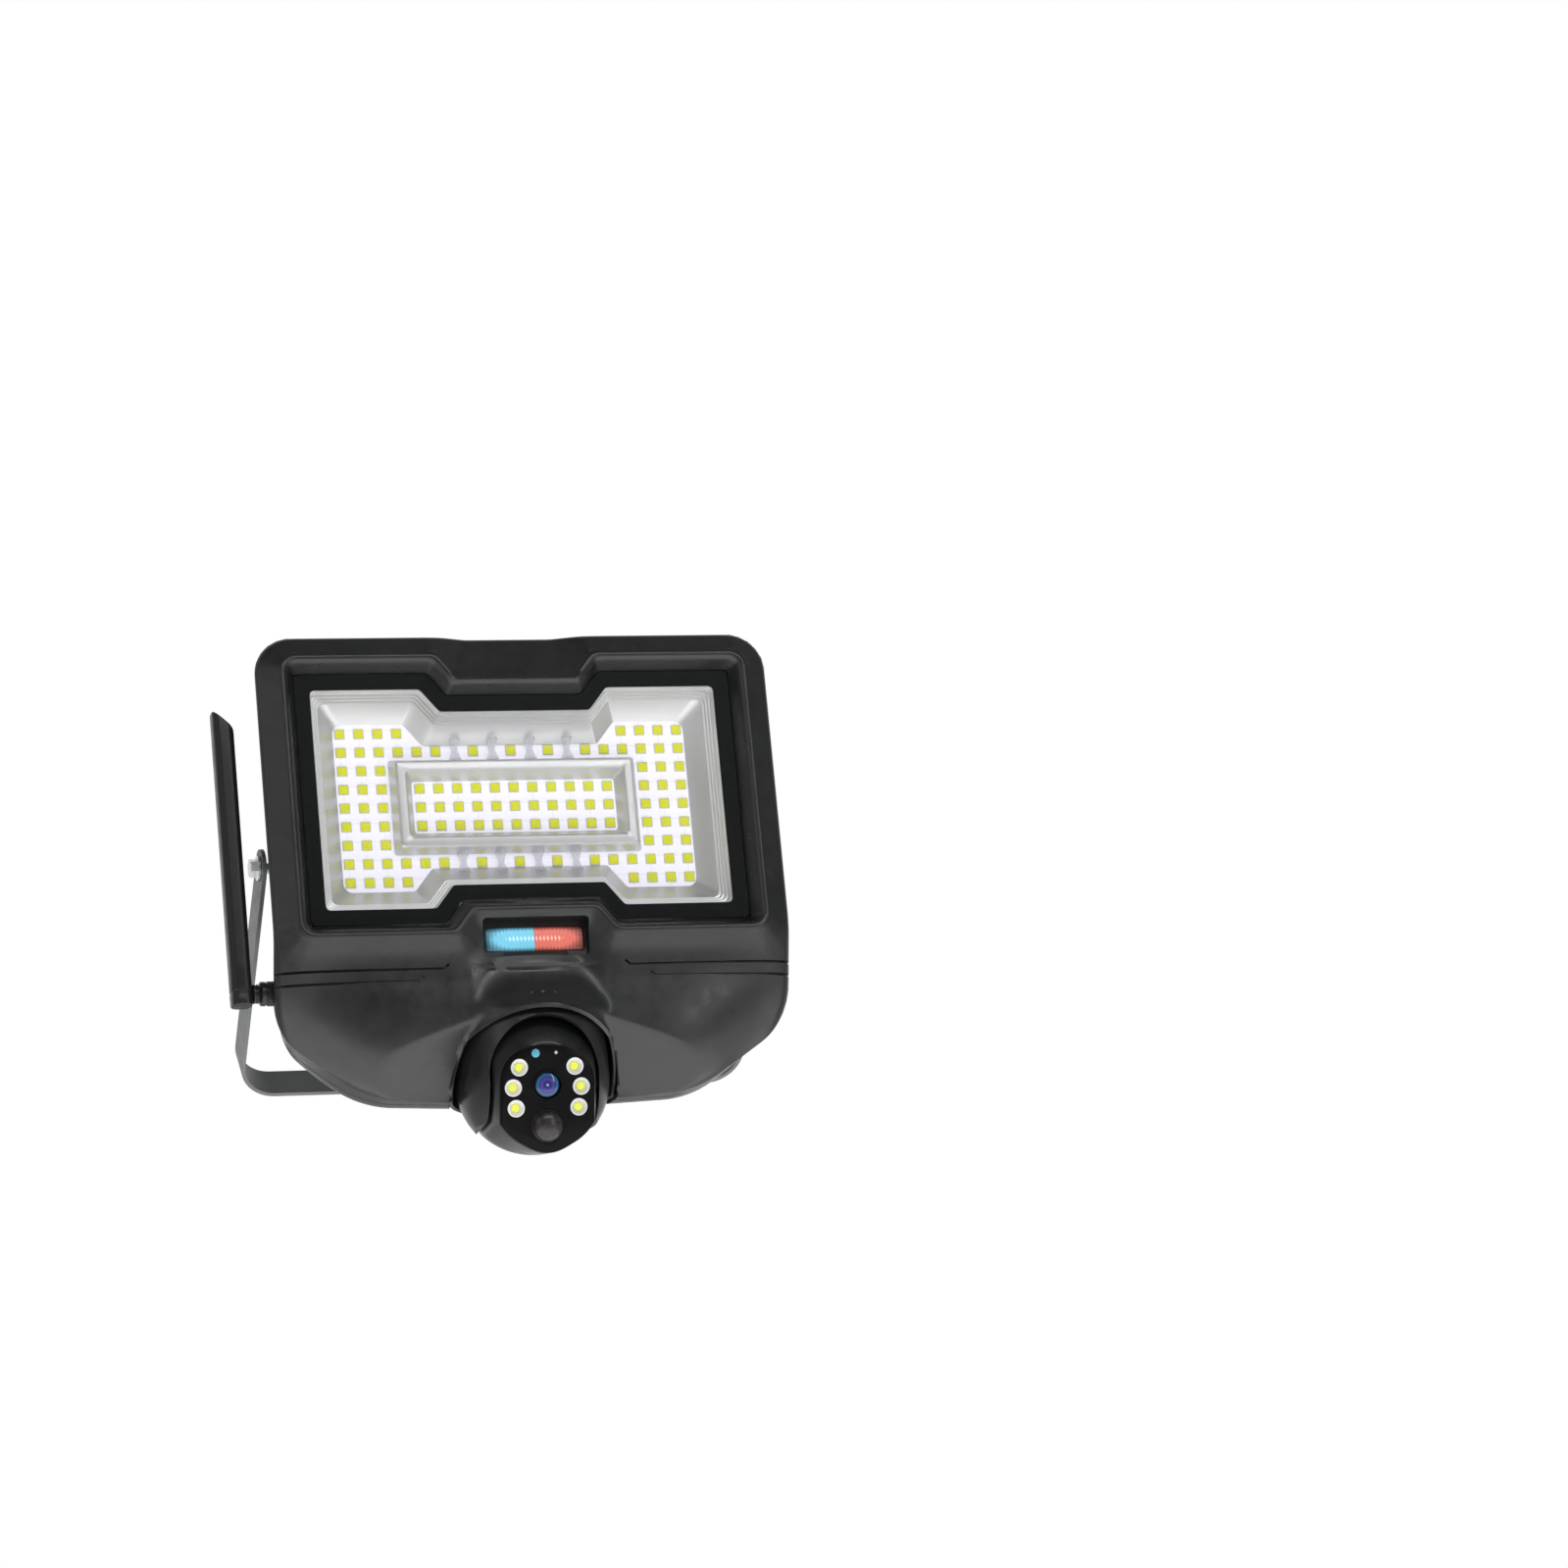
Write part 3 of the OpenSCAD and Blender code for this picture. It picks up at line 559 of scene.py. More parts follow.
def rear_housing(rim):
    """Back cover: the side runs on from the front housing and rounds into a flat back."""
    start = rim[:, [0, 2]]
    middle, half_size = np.array([0, -30.0]), np.array([118, 108])

    def ring_at(y, extra):
        xz = slanted_in(start, y - SPLIT_Y)
        return flat_ring(middle + (xz - middle) * (1 - extra / half_size), y)

    levels = ((SPLIT_Y, 0), (SPLIT_Y + 4, 0), (SPLIT_Y + 7, 0.1), (BACK_Y - 6, 0.5), (BACK_Y - 4.6, 0.9),
              (BACK_Y - 3.2, 1.6), (BACK_Y - 1.9, 2.8), (BACK_Y - 0.9, 4.3), (BACK_Y - 0.25, 6.2),
              (BACK_Y, 8.6))
    rings = [ring_at(y, extra) for y, extra in levels]
    inside = [ring_at(y, extra + WALL) for y, extra in levels[:1] + levels[3::2]]
    for ring in inside:
        ring[:, 1] = np.minimum(ring[:, 1], BACK_Y - WALL)
    centre = np.array([middle[0], 0, middle[1]])
    for loops in (rings, inside):
        last = loops[-1]
        for scale in (0.85, 0.65, 0.45, 0.25, 0.08):
            flat = centre + (last - centre) * scale
            flat[:, 1] = last[:, 1]
            loops.append(flat)
    count = len(start)
    verts = np.concatenate(rings + inside)
    faces = grid_faces(len(rings), count) + grid_faces(len(inside), count, first=len(rings) * count)
    first_inner = len(rings) * count
    for c in range(count):
        n = (c + 1) % count
        faces.append((c, n, first_inner + n, first_inner + c))
    faces.append(list(range((len(rings) - 1) * count, len(rings) * count)))
    faces.append(list(range(len(verts) - count, len(verts)))[::-1])
    body = new_object("rear_shell", verts, faces)
    triangulate(body, 1e-6)
    turret = [(0, -180), (HOOD_OUT + 0.15, -180), (HOOD_OUT + 0.15, -104), (34.2, -89.9), (0, -89.9)]
    cutters = [revolve("cut", turret, centre=(0, PAN_Y, 0), segments=128)]
    screw = [(0, BACK_Y - 3.4), (3.4, BACK_Y - 3.4), (3.4, BACK_Y - 0.4), (4.0, BACK_Y + 2), (0, BACK_Y + 2)]
    cutters += [revolve("cut", screw, "y", (s * x, 0, z), 40)
                for x, z in ((98, 59.8), (98, -59.8), (84, -108)) for s in (-1, 1)]
    cutters += [rod((INLET_X, BACK_Y - 9, z), (INLET_X, BACK_Y + 3, z), r, 40)
                for z, r in ((-40, 4.1), (-75, 6.3))]
    # a shallow label recess and the speaker's grille
    cutters.append(rounded_box((-32, 32), (BACK_Y - 0.7, BACK_Y + 3), (8, 44), 4))
    grille = [rod((SPEAKER_X, BACK_Y - 0.8, SPEAKER_Z), (SPEAKER_X, BACK_Y + 3, SPEAKER_Z), 11.5, 64)]
    pitch = 3.1
    for ring_no, number in enumerate((1, 6, 12, 18)):
        for k in range(number):
            a = 2 * math.pi * k / number
            x, z = SPEAKER_X + pitch * ring_no * math.cos(a), SPEAKER_Z + pitch * ring_no * math.sin(a)
            grille.append(rod((x, BACK_Y - 1.6, z), (x, BACK_Y - 0.5, z), 0.85, 12))
    carve(body, cutters + [join("cut", grille)])
    return body


# ---- Procedural materials ----
class Nodes:
    """A short way to write a material's nodes."""

    def __init__(self, name):
        self.name = name
        self.material = bpy.data.materials.new(name)
        self.material.use_nodes = True
        self.tree = self.material.node_tree
        self.bsdf = self.tree.nodes["Principled BSDF"]
        self.place = self.add("ShaderNodeTexCoord").outputs["Object"]

    def add(self, kind, sockets=(), **settings):
        """A node. sockets gives each input, by name or place, a value or the output that feeds it."""
        node = self.tree.nodes.new(kind)
        for key, value in settings.items():
            setattr(node, key, value)
        for key, value in dict(sockets).items():
            self.feed(node.inputs[key], value)
        return node

    def feed(self, socket, value):
        if hasattr(value, "is_linked"):
            self.tree.links.new(value, socket)
        else:
            socket.default_value = value

    def noise(self, scale, detail=3.0, rough=0.5, stretch=None):
        place = self.place
        if stretch is not None:
            place = self.add("ShaderNodeMapping", {"Scale": stretch, "Vector": place}).outputs["Vector"]
        sockets = {"Scale": scale, "Detail": detail, "Roughness": rough, "Vector": place}
        return self.add("ShaderNodeTexNoise", sockets).outputs["Fac"]

    def ramp(self, value, stops):
        node = self.add("ShaderNodeValToRGB", {"Fac": value})
        elements = node.color_ramp.elements
        while len(elements) < len(stops):
            elements.new(0.5)
        for element, (position, colour) in zip(elements, stops):
            element.position = position
            element.color = (*colour, 1)
        return node.outputs["Color"]

    def spread(self, value, low, high, from_low=0.3, from_high=0.7):
        sockets = {"Value": value, "From Min": from_low, "From Max": from_high, "To Min": low, "To Max": high}
        return self.add("ShaderNodeMapRange", sockets).outputs["Result"]

    def mix(self, factor, a, b):
        node = self.add("ShaderNodeMix", {"Factor": factor}, data_type="RGBA")
        for socket, value in zip([i for i in node.inputs if i.type == "RGBA"], (a, b)):
            self.feed(socket, (*value, 1) if isinstance(value, tuple) else value)
        return [o for o in node.outputs if o.type == "RGBA"][0]

    def maths(self, operation, *values):
        return self.add("ShaderNodeMath", enumerate(values), operation=operation).outputs[0]

    def bump(self, height, strength, distance, under=None):
        sockets = {"Height": height, "Strength": strength, "Distance": distance * MM}
        if under is not None:
            sockets["Normal"] = under
        return self.add("ShaderNodeBump", sockets).outputs["Normal"]

    def set(self, **values):
        for name, value in values.items():
            value = (*value, 1) if isinstance(value, tuple) else value
            self.feed(self.bsdf.inputs[name.replace("_", " ")], value)
        return self

    def edge(self, colour, lighter):
        """Colour that lightens along sharp outer edges and convex crests: a painted highlight, and edge wear."""
        point = self.add("ShaderNodeNewGeometry").outputs["Pointiness"]
        return self.mix(self.spread(point, 0.0, 1.0, 0.52, 0.62), colour, lighter)


def moulded(name, colour, rough, grain=2600, depth=0.03, wear_and_sheen=0.2, shine=0.35):
    """Moulded plastic with a fine spark-eroded texture."""
    n = Nodes(name)
    tint, strength = 0.14, 0.35
    lighter = tuple(min(1, c * (1 + tint)) for c in colour)
    darker = tuple(c * (1 - tint) for c in colour)
    cloudy = n.ramp(n.noise(38, 4), [(0.35, darker), (0.65, lighter)])
    # lighter along convex edges and crests: a painted highlight there, and edge wear
    worn_and_highlit = tuple(min(1, c * (1 + wear_and_sheen) + 0.01 * wear_and_sheen) for c in colour)
    n.set(Base_Color=n.edge(cloudy, worn_and_highlit))
    n.set(Roughness=n.spread(n.noise(150, 3), rough - 0.05, rough + 0.06))
    coarse = n.bump(n.noise(grain * 0.25, 2), strength * 0.4, depth * 1.5)
    n.set(Normal=n.bump(n.noise(grain, 2), strength, depth, coarse), Specular_IOR_Level=shine)
    return n


def metal(name, colour, rough):
    """Metal with fine drawn lines."""
    n = Nodes(name)
    lines = n.noise(260, 4, 0.6, stretch=(1, 1, 30))
    darker, lighter = tuple(c * 0.9 for c in colour), tuple(min(1, c * 1.06) for c in colour)
    n.set(Base_Color=n.mix(n.noise(60, 3), darker, lighter))
    n.set(Metallic=1.0, Roughness=n.spread(lines, rough - 0.06, rough + 0.1))
    n.set(Normal=n.bump(lines, 0.3, 0.01))
    return n


def glowing(name, dim, bright):
    """A ribbed warning lens with a lit line through its middle."""
    n = Nodes(name)
    split = n.add("ShaderNodeSeparateXYZ", {0: n.place})
    middle = float(ORIGIN[2] + ALARM_Z * MM)
    off_middle = n.maths("ABSOLUTE", n.maths("SUBTRACT", split.outputs["Z"], middle))
    across = n.spread(off_middle, 1.0, 0.0, 0.0, 6.2 * MM)
    along = n.spread(n.maths("ABSOLUTE", split.outputs["X"]), 1.0, 0.0, 12.0 * MM, 24.0 * MM)
    sockets = {"Scale": 170, "Distortion": 0.4, "Vector": n.place}
    wave = n.add("ShaderNodeTexWave", sockets, bands_direction="X")
    ribs = n.spread(wave.outputs["Fac"], 0.72, 1.0, 0, 1)
    ribbed = n.maths("MULTIPLY", n.maths("MULTIPLY", across, along), ribs)
    colour = n.ramp(ribbed, [(0.0, tuple(c * 0.05 for c in dim)), (0.3, dim), (0.72, dim), (1.0, bright)])
    n.set(Base_Color=colour, Emission_Color=colour, Emission_Strength=0.5, Roughness=0.25)
    return n


def make_materials():
    made = [
        moulded("black_plastic", (0.0105, 0.0116, 0.0111), 0.32, shine=0.5),
        moulded("dark_plastic", (0.008, 0.008, 0.008), 0.36, grain=3200, depth=0.015),
        moulded("black_rubber", (0.012, 0.012, 0.012), 0.7, grain=1800, depth=0.04, wear_and_sheen=0.2),
        moulded("bracket_steel", (0.105, 0.112, 0.109), 0.46, grain=1500, depth=0.035,
                wear_and_sheen=0.7).set(Metallic=0.25),
        metal("zinc_steel", (0.62, 0.63, 0.64), 0.3),
        metal("aluminium", (0.6, 0.61, 0.62), 0.35),
        metal("brass_bush", (0.62, 0.42, 0.16), 0.3),
        reflector_metal(),
        clear("clear_glass", (0.02, 0.03, 0.03), 0.04, 0.07),
        clear("clear_plastic", (0.85, 0.87, 0.9), 0.12, 0.34),
        clear("lens_clear", (0.5, 0.52, 0.5), 0.05, 0.08),
        moulded("black_border", (0.003, 0.003, 0.003), 0.4, grain=900, depth=0.004, wear_and_sheen=0.0, shine=0.1),
        moulded("gloss_black", (0.003, 0.0026, 0.0032), 0.3, grain=700, depth=0.003, wear_and_sheen=0.3, shine=0.08),
        board_white(),
        phosphor(),
        moulded("led_package", (0.72, 0.74, 0.62), 0.4, grain=4000, depth=0.01, wear_and_sheen=0.0),
        glowing("blue_lens", (0.15, 0.46, 0.62), (0.60, 0.84, 0.90)),
        glowing("red_lens", (0.56, 0.13, 0.10), (0.90, 0.52, 0.44)),
        circuit_board(),
        moulded("battery_wrap", (0.03, 0.15, 0.4), 0.28, grain=500, depth=0.01),
        coated_lens(),
        smoked(),
        moulded("cyan_window", (0.08, 0.34, 0.46), 0.15, grain=500, depth=0.01, wear_and_sheen=0.0),
        moulded("pale_light", (0.45, 0.45, 0.45), 0.25, grain=500, depth=0.01, wear_and_sheen=0.0),
        moulded("cup_white", (0.72, 0.73, 0.72), 0.3, grain=900, depth=0.008, wear_and_sheen=0.0),
        moulded("deep_black", (0.002, 0.002, 0.002), 0.5, grain=900, depth=0.01, wear_and_sheen=0.0),
    ]
    return {n.name: n.material for n in made}


def reflector_metal():
    """Metallised plastic: an even satin sheen with faint drawing lines."""
    n = Nodes("silver_reflector")
    lines = n.noise(90, 2, 0.4, stretch=(0.4, 1, 5))
    n.set(Base_Color=n.mix(n.noise(30, 2), (0.68, 0.68, 0.69), (0.75, 0.75, 0.76)), Metallic=0.8)
    n.set(Roughness=n.spread(lines, 0.40, 0.44), Normal=n.bump(lines, 0.05, 0.004))
    return n


def clear(name, colour, rough, alpha):
    n = Nodes(name)
    cloud = n.noise(90, 2)
    n.set(Base_Color=n.mix(cloud, tuple(c * 0.96 for c in colour), colour), Alpha=alpha)
    n.set(Roughness=n.spread(cloud, rough, rough + 0.03), Normal=n.bump(n.noise(240, 2), 0.05, 0.01))
    return n


def board_white():
    """White solder mask with faint copper traces under it, and a painted glow that lightens it evenly."""
    n = Nodes("white_board")
    turned = n.add("ShaderNodeMapping", {"Rotation": (math.radians(-90), 0, 0), "Vector": n.place})
    cell = n.add("ShaderNodeTexBrick", {
        "Vector": turned.outputs["Vector"], "Scale": 1.0, "Brick Width": LED_PITCH * MM * 2,
        "Row Height": LED_PITCH * MM, "Mortar Size": 0.35 * MM, "Color1": (0.86, 0.84, 0.93, 1),
        "Color2": (0.83, 0.82, 0.91, 1), "Mortar": (0.74, 0.73, 0.82, 1)})
    n.set(Base_Color=cell.outputs["Color"], Roughness=n.spread(n.noise(200), 0.32, 0.42))
    n.set(Normal=n.bump(n.noise(1400), 0.2, 0.02))
    # painted glow: the board is no lamp, this emission only lightens it
    n.set(Emission_Color=(0.86, 0.84, 0.95), Emission_Strength=0.45)
    return n


def phosphor():
    n = Nodes("phosphor_yellow")
    grain = n.noise(2600, 3)
    colour = n.ramp(grain, [(0.3, (0.60, 0.62, 0.01)), (0.7, (0.82, 0.84, 0.04))])
    n.set(Base_Color=colour, Roughness=n.spread(grain, 0.35, 0.5), Normal=n.bump(grain, 0.3, 0.02))
    n.set(Emission_Color=(0.7, 0.72, 0.02), Emission_Strength=0.25)
    return n


def circuit_board():
    n = Nodes("green_board")
    sockets = {"Scale": 320, "Vector": n.place}
    cell = n.add("ShaderNodeTexVoronoi", sockets, distance="MANHATTAN").outputs["Distance"]
    n.set(Base_Color=n.ramp(cell, [(0.2, (0.02, 0.16, 0.06)), (0.6, (0.01, 0.08, 0.035))]))
    n.set(Roughness=n.spread(n.noise(300), 0.25, 0.4), Normal=n.bump(cell, 0.2, 0.03))
    return n


def radial(n, centre, axis_tilt, radius):
    """0 at the camera's axis to 1 at a radius from it."""
    shifted = n.add("ShaderNodeVectorMath", {0: n.place, 1: centre}, operation="SUBTRACT")
    turned = n.add("ShaderNodeMapping", {"Vector": shifted.outputs[0], "Rotation": (-axis_tilt, 0, 0)})
    flat = n.add("ShaderNodeVectorMath", {0: turned.outputs["Vector"], 1: (1, 0, 1)}, operation="MULTIPLY")
    length = n.add("ShaderNodeVectorMath", {0: flat.outputs[0]}, operation="LENGTH")
    return n.spread(length.outputs["Value"], 0, 1, 0, radius * MM)


def coated_lens():
    n = Nodes("coated_lens")
    far = radial(n, tuple(to_row(PAN)), REST_TILT, 5.9)
    # painted reflections in the coated glass: a painted highlight at the centre and coloured rings round it
    colour = n.ramp(far, [
        (0.0, (0.45, 0.50, 0.75)), (0.10, (0.10, 0.10, 0.34)), (0.18, (0.004, 0.004, 0.03)),
        (0.36, (0.02, 0.03, 0.20)), (0.50, (0.07, 0.03, 0.18)), (0.66, (0.01, 0.03, 0.14)),
        (0.80, (0.02, 0.10, 0.26)), (0.90, (0.01, 0.05, 0.10)), (1.0, (0.002, 0.004, 0.01))])
    n.set(Base_Color=colour, Roughness=0.08, Specular_IOR_Level=0.4)
    # painted glow: the lens is no lamp, the emission only brightens the painted reflections
    n.set(Emission_Color=colour, Emission_Strength=0.12, Normal=n.bump(n.noise(120), 0.02, 0.01))
    return n


def smoked():
    """Dark detector dome with faint lens cells inside."""
    n = Nodes("smoked_plastic")
    cell = n.add("ShaderNodeTexVoronoi", {"Scale": 520, "Vector": n.place}).outputs["Distance"]
    n.set(Base_Color=n.ramp(cell, [(0.1, (0.030, 0.024, 0.028)), (0.7, (0.016, 0.013, 0.016))]))
    n.set(Roughness=0.3, Specular_IOR_Level=0.4, Normal=n.bump(cell, 0.25, 0.04))
    return n


MATERIALS = make_materials()


def paint(obj, name):
    obj.data.materials.clear()
    obj.data.materials.append(MATERIALS[name])


def finish_piece(obj, body, slot, replaces=(), material=None, angle=30):
    """Gives a piece its material, its shading and the body that it rides on, and hides the CAD parts that it
    stands in for.
    """
    paint(obj, material or slot)
    smooth(obj, angle)
    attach(obj, body)
    if replaces:
        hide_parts(*replaces)


# ---- Head ----
def build_head():
    finish_piece(front_housing(), "head", "black_plastic", ["front_housing"], angle=32)
    finish_piece(turret_wall(), "head", "black_plastic", angle=32)
    finish_piece(alarm_tray(), "head", "black_plastic", material="dark_plastic")
    rim = front_rings()[-1]
    finish_piece(rear_housing(rim), "head", "black_plastic", ["rear_housing"], angle=32)
    normal = outline_normal(rim[:, [0, 2]])
    flat = flat_ring(normal, 0.0)

    def seal(inset, lift):
        ring = rim - flat * inset
        ring[:, 1] = SPLIT_Y + lift
        return ring

    section = ((0.5, -0.62), (0.5, 0.02), (2.2, 0.02), (2.2, -0.62))
    gasket = loft("split_seal", [seal(inset, lift) for inset, lift in section], closed=True)
    carve(gasket, [rod((0, PAN_Y, -190), (0, PAN_Y, -80), HOOD_OUT, 96)])
    finish_piece(gasket, "head", "black_rubber", ["housing_gasket"])


def lamp_rings(section):
    """Rings along the window's outline, by inset, corner radius, notch radius and depth."""
    return [flat_ring(bowtie_loop(inset, corner, notch), y) for inset, corner, notch, y in section]


def build_lamp():
    edge = 0.35
    glass = ((-BORDER + edge, 2.0, 1.5, 0), (-BORDER, 2.2, 1.5, edge), (-BORDER, 2.2, 1.5, 1.0))
    finish_piece(loft("lamp_glass", lamp_rings(glass)), "head", "clear_glass", ["glass_panel"])
    border = ((-BORDER + 0.1, 2.0, 1.5, 1.02), (-0.25, 2.2, 2.0, 1.02), (-0.1, 2.2, 2.0, 1.2),
              (-0.3, 2.2, 2.0, 1.5), (-2.0, 2.2, 2.0, 4.3), (-BORDER + 0.1, 2.0, 1.5, 4.3))
    seal = loft("glass_border", lamp_rings(border), closed=True)
    finish_piece(seal, "head", "black_border", ["glass_gasket"])
    profile = [(-0.1, 1.6), (0.1, 1.6), (0.4, 2.6), (0.8, 4.4), (1.1, 5.2), (1.9, 5.4), (2.3, 6.5),
               (3.1, 6.7), (3.5, 7.8), (4.3, 8.0), (4.7, 8.8), (11.9, 16.3), (12.6, 16.85)]
    rings = lamp_rings([(i, 2.6 + i * 0.14, 2.4, y) for i, y in profile])
    rings += lamp_rings([(i - 1.2, 2.6, 2.4, y + 0.3) for i, y in profile[:0:-1]])
    steps = loft("lamp_reflector", rings, closed=True)
    finish_piece(steps, "head", "silver_reflector", ["outer_reflector"], angle=18)
    build_inner_reflector()
    build_ribs()
    build_leds()


def rect_loop(w, h, r, y, count=7):
    points, _ = fillet([(w, h), (-w, h), (-w, -h), (w, -h)], [r] * 4, count)
    return flat_ring(points, y)


def build_inner_reflector():
    profile = [(60.5, 23.6, 16.9), (60.0, 23.1, 15.6), (58.3, 21.4, 11.0), (57.6, 20.7, 10.25),
               (56.9, 20.0, 10.0), (54.0, 17.1, 10.0), (53.3, 16.4, 10.3), (52.8, 15.9, 11.2),
               (50.2, 13.3, 16.0), (49.6, 12.8, 16.9)]
    inner = loft("inner_frame", [rect_loop(w, h, 1.6, y) for w, h, y in profile], closed=True)
    finish_piece(inner, "head", "silver_reflector", ["inner_reflector"], angle=20)


RIB_COLUMNS = (-3, -1, 1, 3)


def build_ribs():
    """Clear saddle-shaped ribs between the inner frame and the notch walls."""
    parts = []
    for column in RIB_COLUMNS:
        for side in (-1, 1):
            x = column * LED_PITCH
            rings = []
            for t in np.linspace(0, 1, 9):
                z = side * (23.3 + 9.4 * t)
                half = 3.1 - 1.5 * math.sin(math.pi * t)
                crest = 9.6 + 2.4 * math.sin(math.pi * t)
                rings.append([(x + half * math.cos(a), crest + (16.9 - crest) * (1 - math.sin(a)) ** 0.8, z)
                              for a in np.linspace(0, math.pi, 13)])
            parts.append(loft("rib", rings))
    finish_piece(join("clear_ribs", parts), "head", "clear_plastic", ["reflector_ribs"], angle=40)


def has_led(column, row):
    across, up = abs(column - 9), abs(row - 4)
    if up == 4:
        return across >= 6
    if up == 3:
        return across >= 4 or (across % 2 == 0 and across <= 2)
    if up == 2:
        return across >= 7
    return across >= 7 or across <= 5


# half width, corner radius and height over the board
LED_CASE = ((2.5, 0.3, 0), (2.5, 0.3, 0.75), (2.4, 0.3, 0.9), (2.2, 0.4, 0.9), (2.12, 0.4, 0.78))
LED_DOME = ((2.14, 0.4, 0.7), (2.12, 0.4, 0.86), (1.9, 0.5, 0.96), (1.2, 0.5, 1.02))


def led_part(section, x, z):
    rings = [rect_loop(w, w, r, BOARD_Y - height, 3) + np.array([x, 0, z]) for w, r, height in section]
    return loft("led", rings)


def build_leds():
    packages, chips = [], []
    for column in range(19):
        for row in range(9):
            if has_led(column, row):
                x, z = (column - 9) * LED_PITCH, (4 - row) * LED_PITCH
                packages.append(led_part(LED_CASE, x, z))
                chips.append(led_part(LED_DOME, x, z))
    finish_piece(join("led_packages", packages), "head", "phosphor_yellow", material="led_package")
    finish_piece(join("led_phosphor", chips), "head", "phosphor_yellow", ["flood_leds"])


# ---- Warning light ----
def build_alarm():
    for side, name, node, slot in ((-1, "alarm_cover_blue", "alarm_lens_blue", "blue_lens"),
                                   (1, "alarm_cover_red", "alarm_lens_red", "red_lens")):
        columns = 97
        xs = np.linspace(0.06, 24.0, columns)
        verts, faces = [], []
        rows = np.linspace(-1, 1, 15)
        for v in rows:
            for x in xs:
                rib = 0.12 * math.cos(x * 2 * math.pi / 1.5)
                round_off = 0.9 * (1 - math.sqrt(max(0, 1 - abs(v) ** 6)))
                round_off += 1.1 * max(0, (x - 22.4) / 1.6) ** 2
                verts.append((side * x, 0.7 + rib + round_off + 0.7 * v * v, ALARM_Z + v * 6))
        for v in rows:
            for x in xs:
                verts.append((side * x, 4.4, ALARM_Z + v * 6))
        total = columns * len(rows)
        for r in range(len(rows) - 1):
            for c in range(columns - 1):
                a = r * columns + c
                faces.append((a, a + 1, a + columns + 1, a + columns))
                faces.append((a + total, a + columns + total, a + columns + 1 + total, a + 1 + total))
        rim = list(range(columns)) + [r * columns + columns - 1 for r in range(1, len(rows))]
        rim += [(len(rows) - 1) * columns + c for c in range(columns - 2, -1, -1)]
        rim += [r * columns for r in range(len(rows) - 2, 0, -1)]
        for k in range(len(rim)):
            a, b = rim[k], rim[(k + 1) % len(rim)]
            faces.append((a, b, b + total, a + total))
        finish_piece(new_object(name, verts, faces), "head", slot, [node], angle=50)


# ---- Bracket ----
def build_bracket():
    pivot = to_head(JOINTS["bracket_tilt"]["pos_m"])
    wall = to_head((0, 0, 0))
    reach = wall - pivot
    length = float(np.linalg.norm(reach[1:])) - 0.001
    down = np.array([0, reach[1], reach[2]]) / length
    wide = np.array([0, -down[2], down[1]])
    lo, hi = head_box("mounting_bracket")
    outer, thick, half, bend = (hi[0] - lo[0]) / 2, 2.0, 9.0, 18.0
    hub = pivot * [0, 1, 1]
    stations = []
    for s in -np.cos(np.radians(np.linspace(0, 180, 19))) * half:
        if s < 0:
            stations.append((outer, s, 1, 0, math.sqrt(max(half * half - s * s, 0.03))))
    for s in np.linspace(0, length - bend, 24):
        stations.append((outer, s, 1, 0, half))
    for a in np.radians(np.linspace(0, 90, 14))[1:]:
        x, s = outer - bend + bend * math.cos(a), length - bend + bend * math.sin(a)
        stations.append((x, s, math.cos(a), math.sin(a), half))
    for x in np.linspace(outer - bend, 0, 22)[1:]:
        stations.append((x, length, 0, 1, half))
    full = stations + [(-x, s, -nx, ns, w) for x, s, nx, ns, w in stations[-2::-1]]
    rings = []
    for x, s, nx, ns, w in full:
        near, far = (x, s), (x - nx * thick, s - ns * thick)
        rings.append([np.array([px, 0, 0]) + hub + down * ps + wide * sign * w
                      for (px, ps), sign in ((near, 1), (near, -1), (far, -1), (far, 1))])
    bar = loft("u_bracket", rings)
    cutters = [rod(hub + [s * (outer - 8), 0, 0], hub + [s * (outer + 4), 0, 0], 2.6) for s in (-1, 1)]
    for x, r in ((0, 4.2), (-40, 2.75), (40, 2.75)):
        middle = wall * [0, 1, 1] + np.array([x, 0, 0])
        cutters.append(rod(middle - down * 6, middle + down * 6, r, 40))
    carve(bar, cutters)
    bevel(bar, 0.35)
    finish_piece(bar, "bracket", "bracket_steel", ["mounting_bracket"])


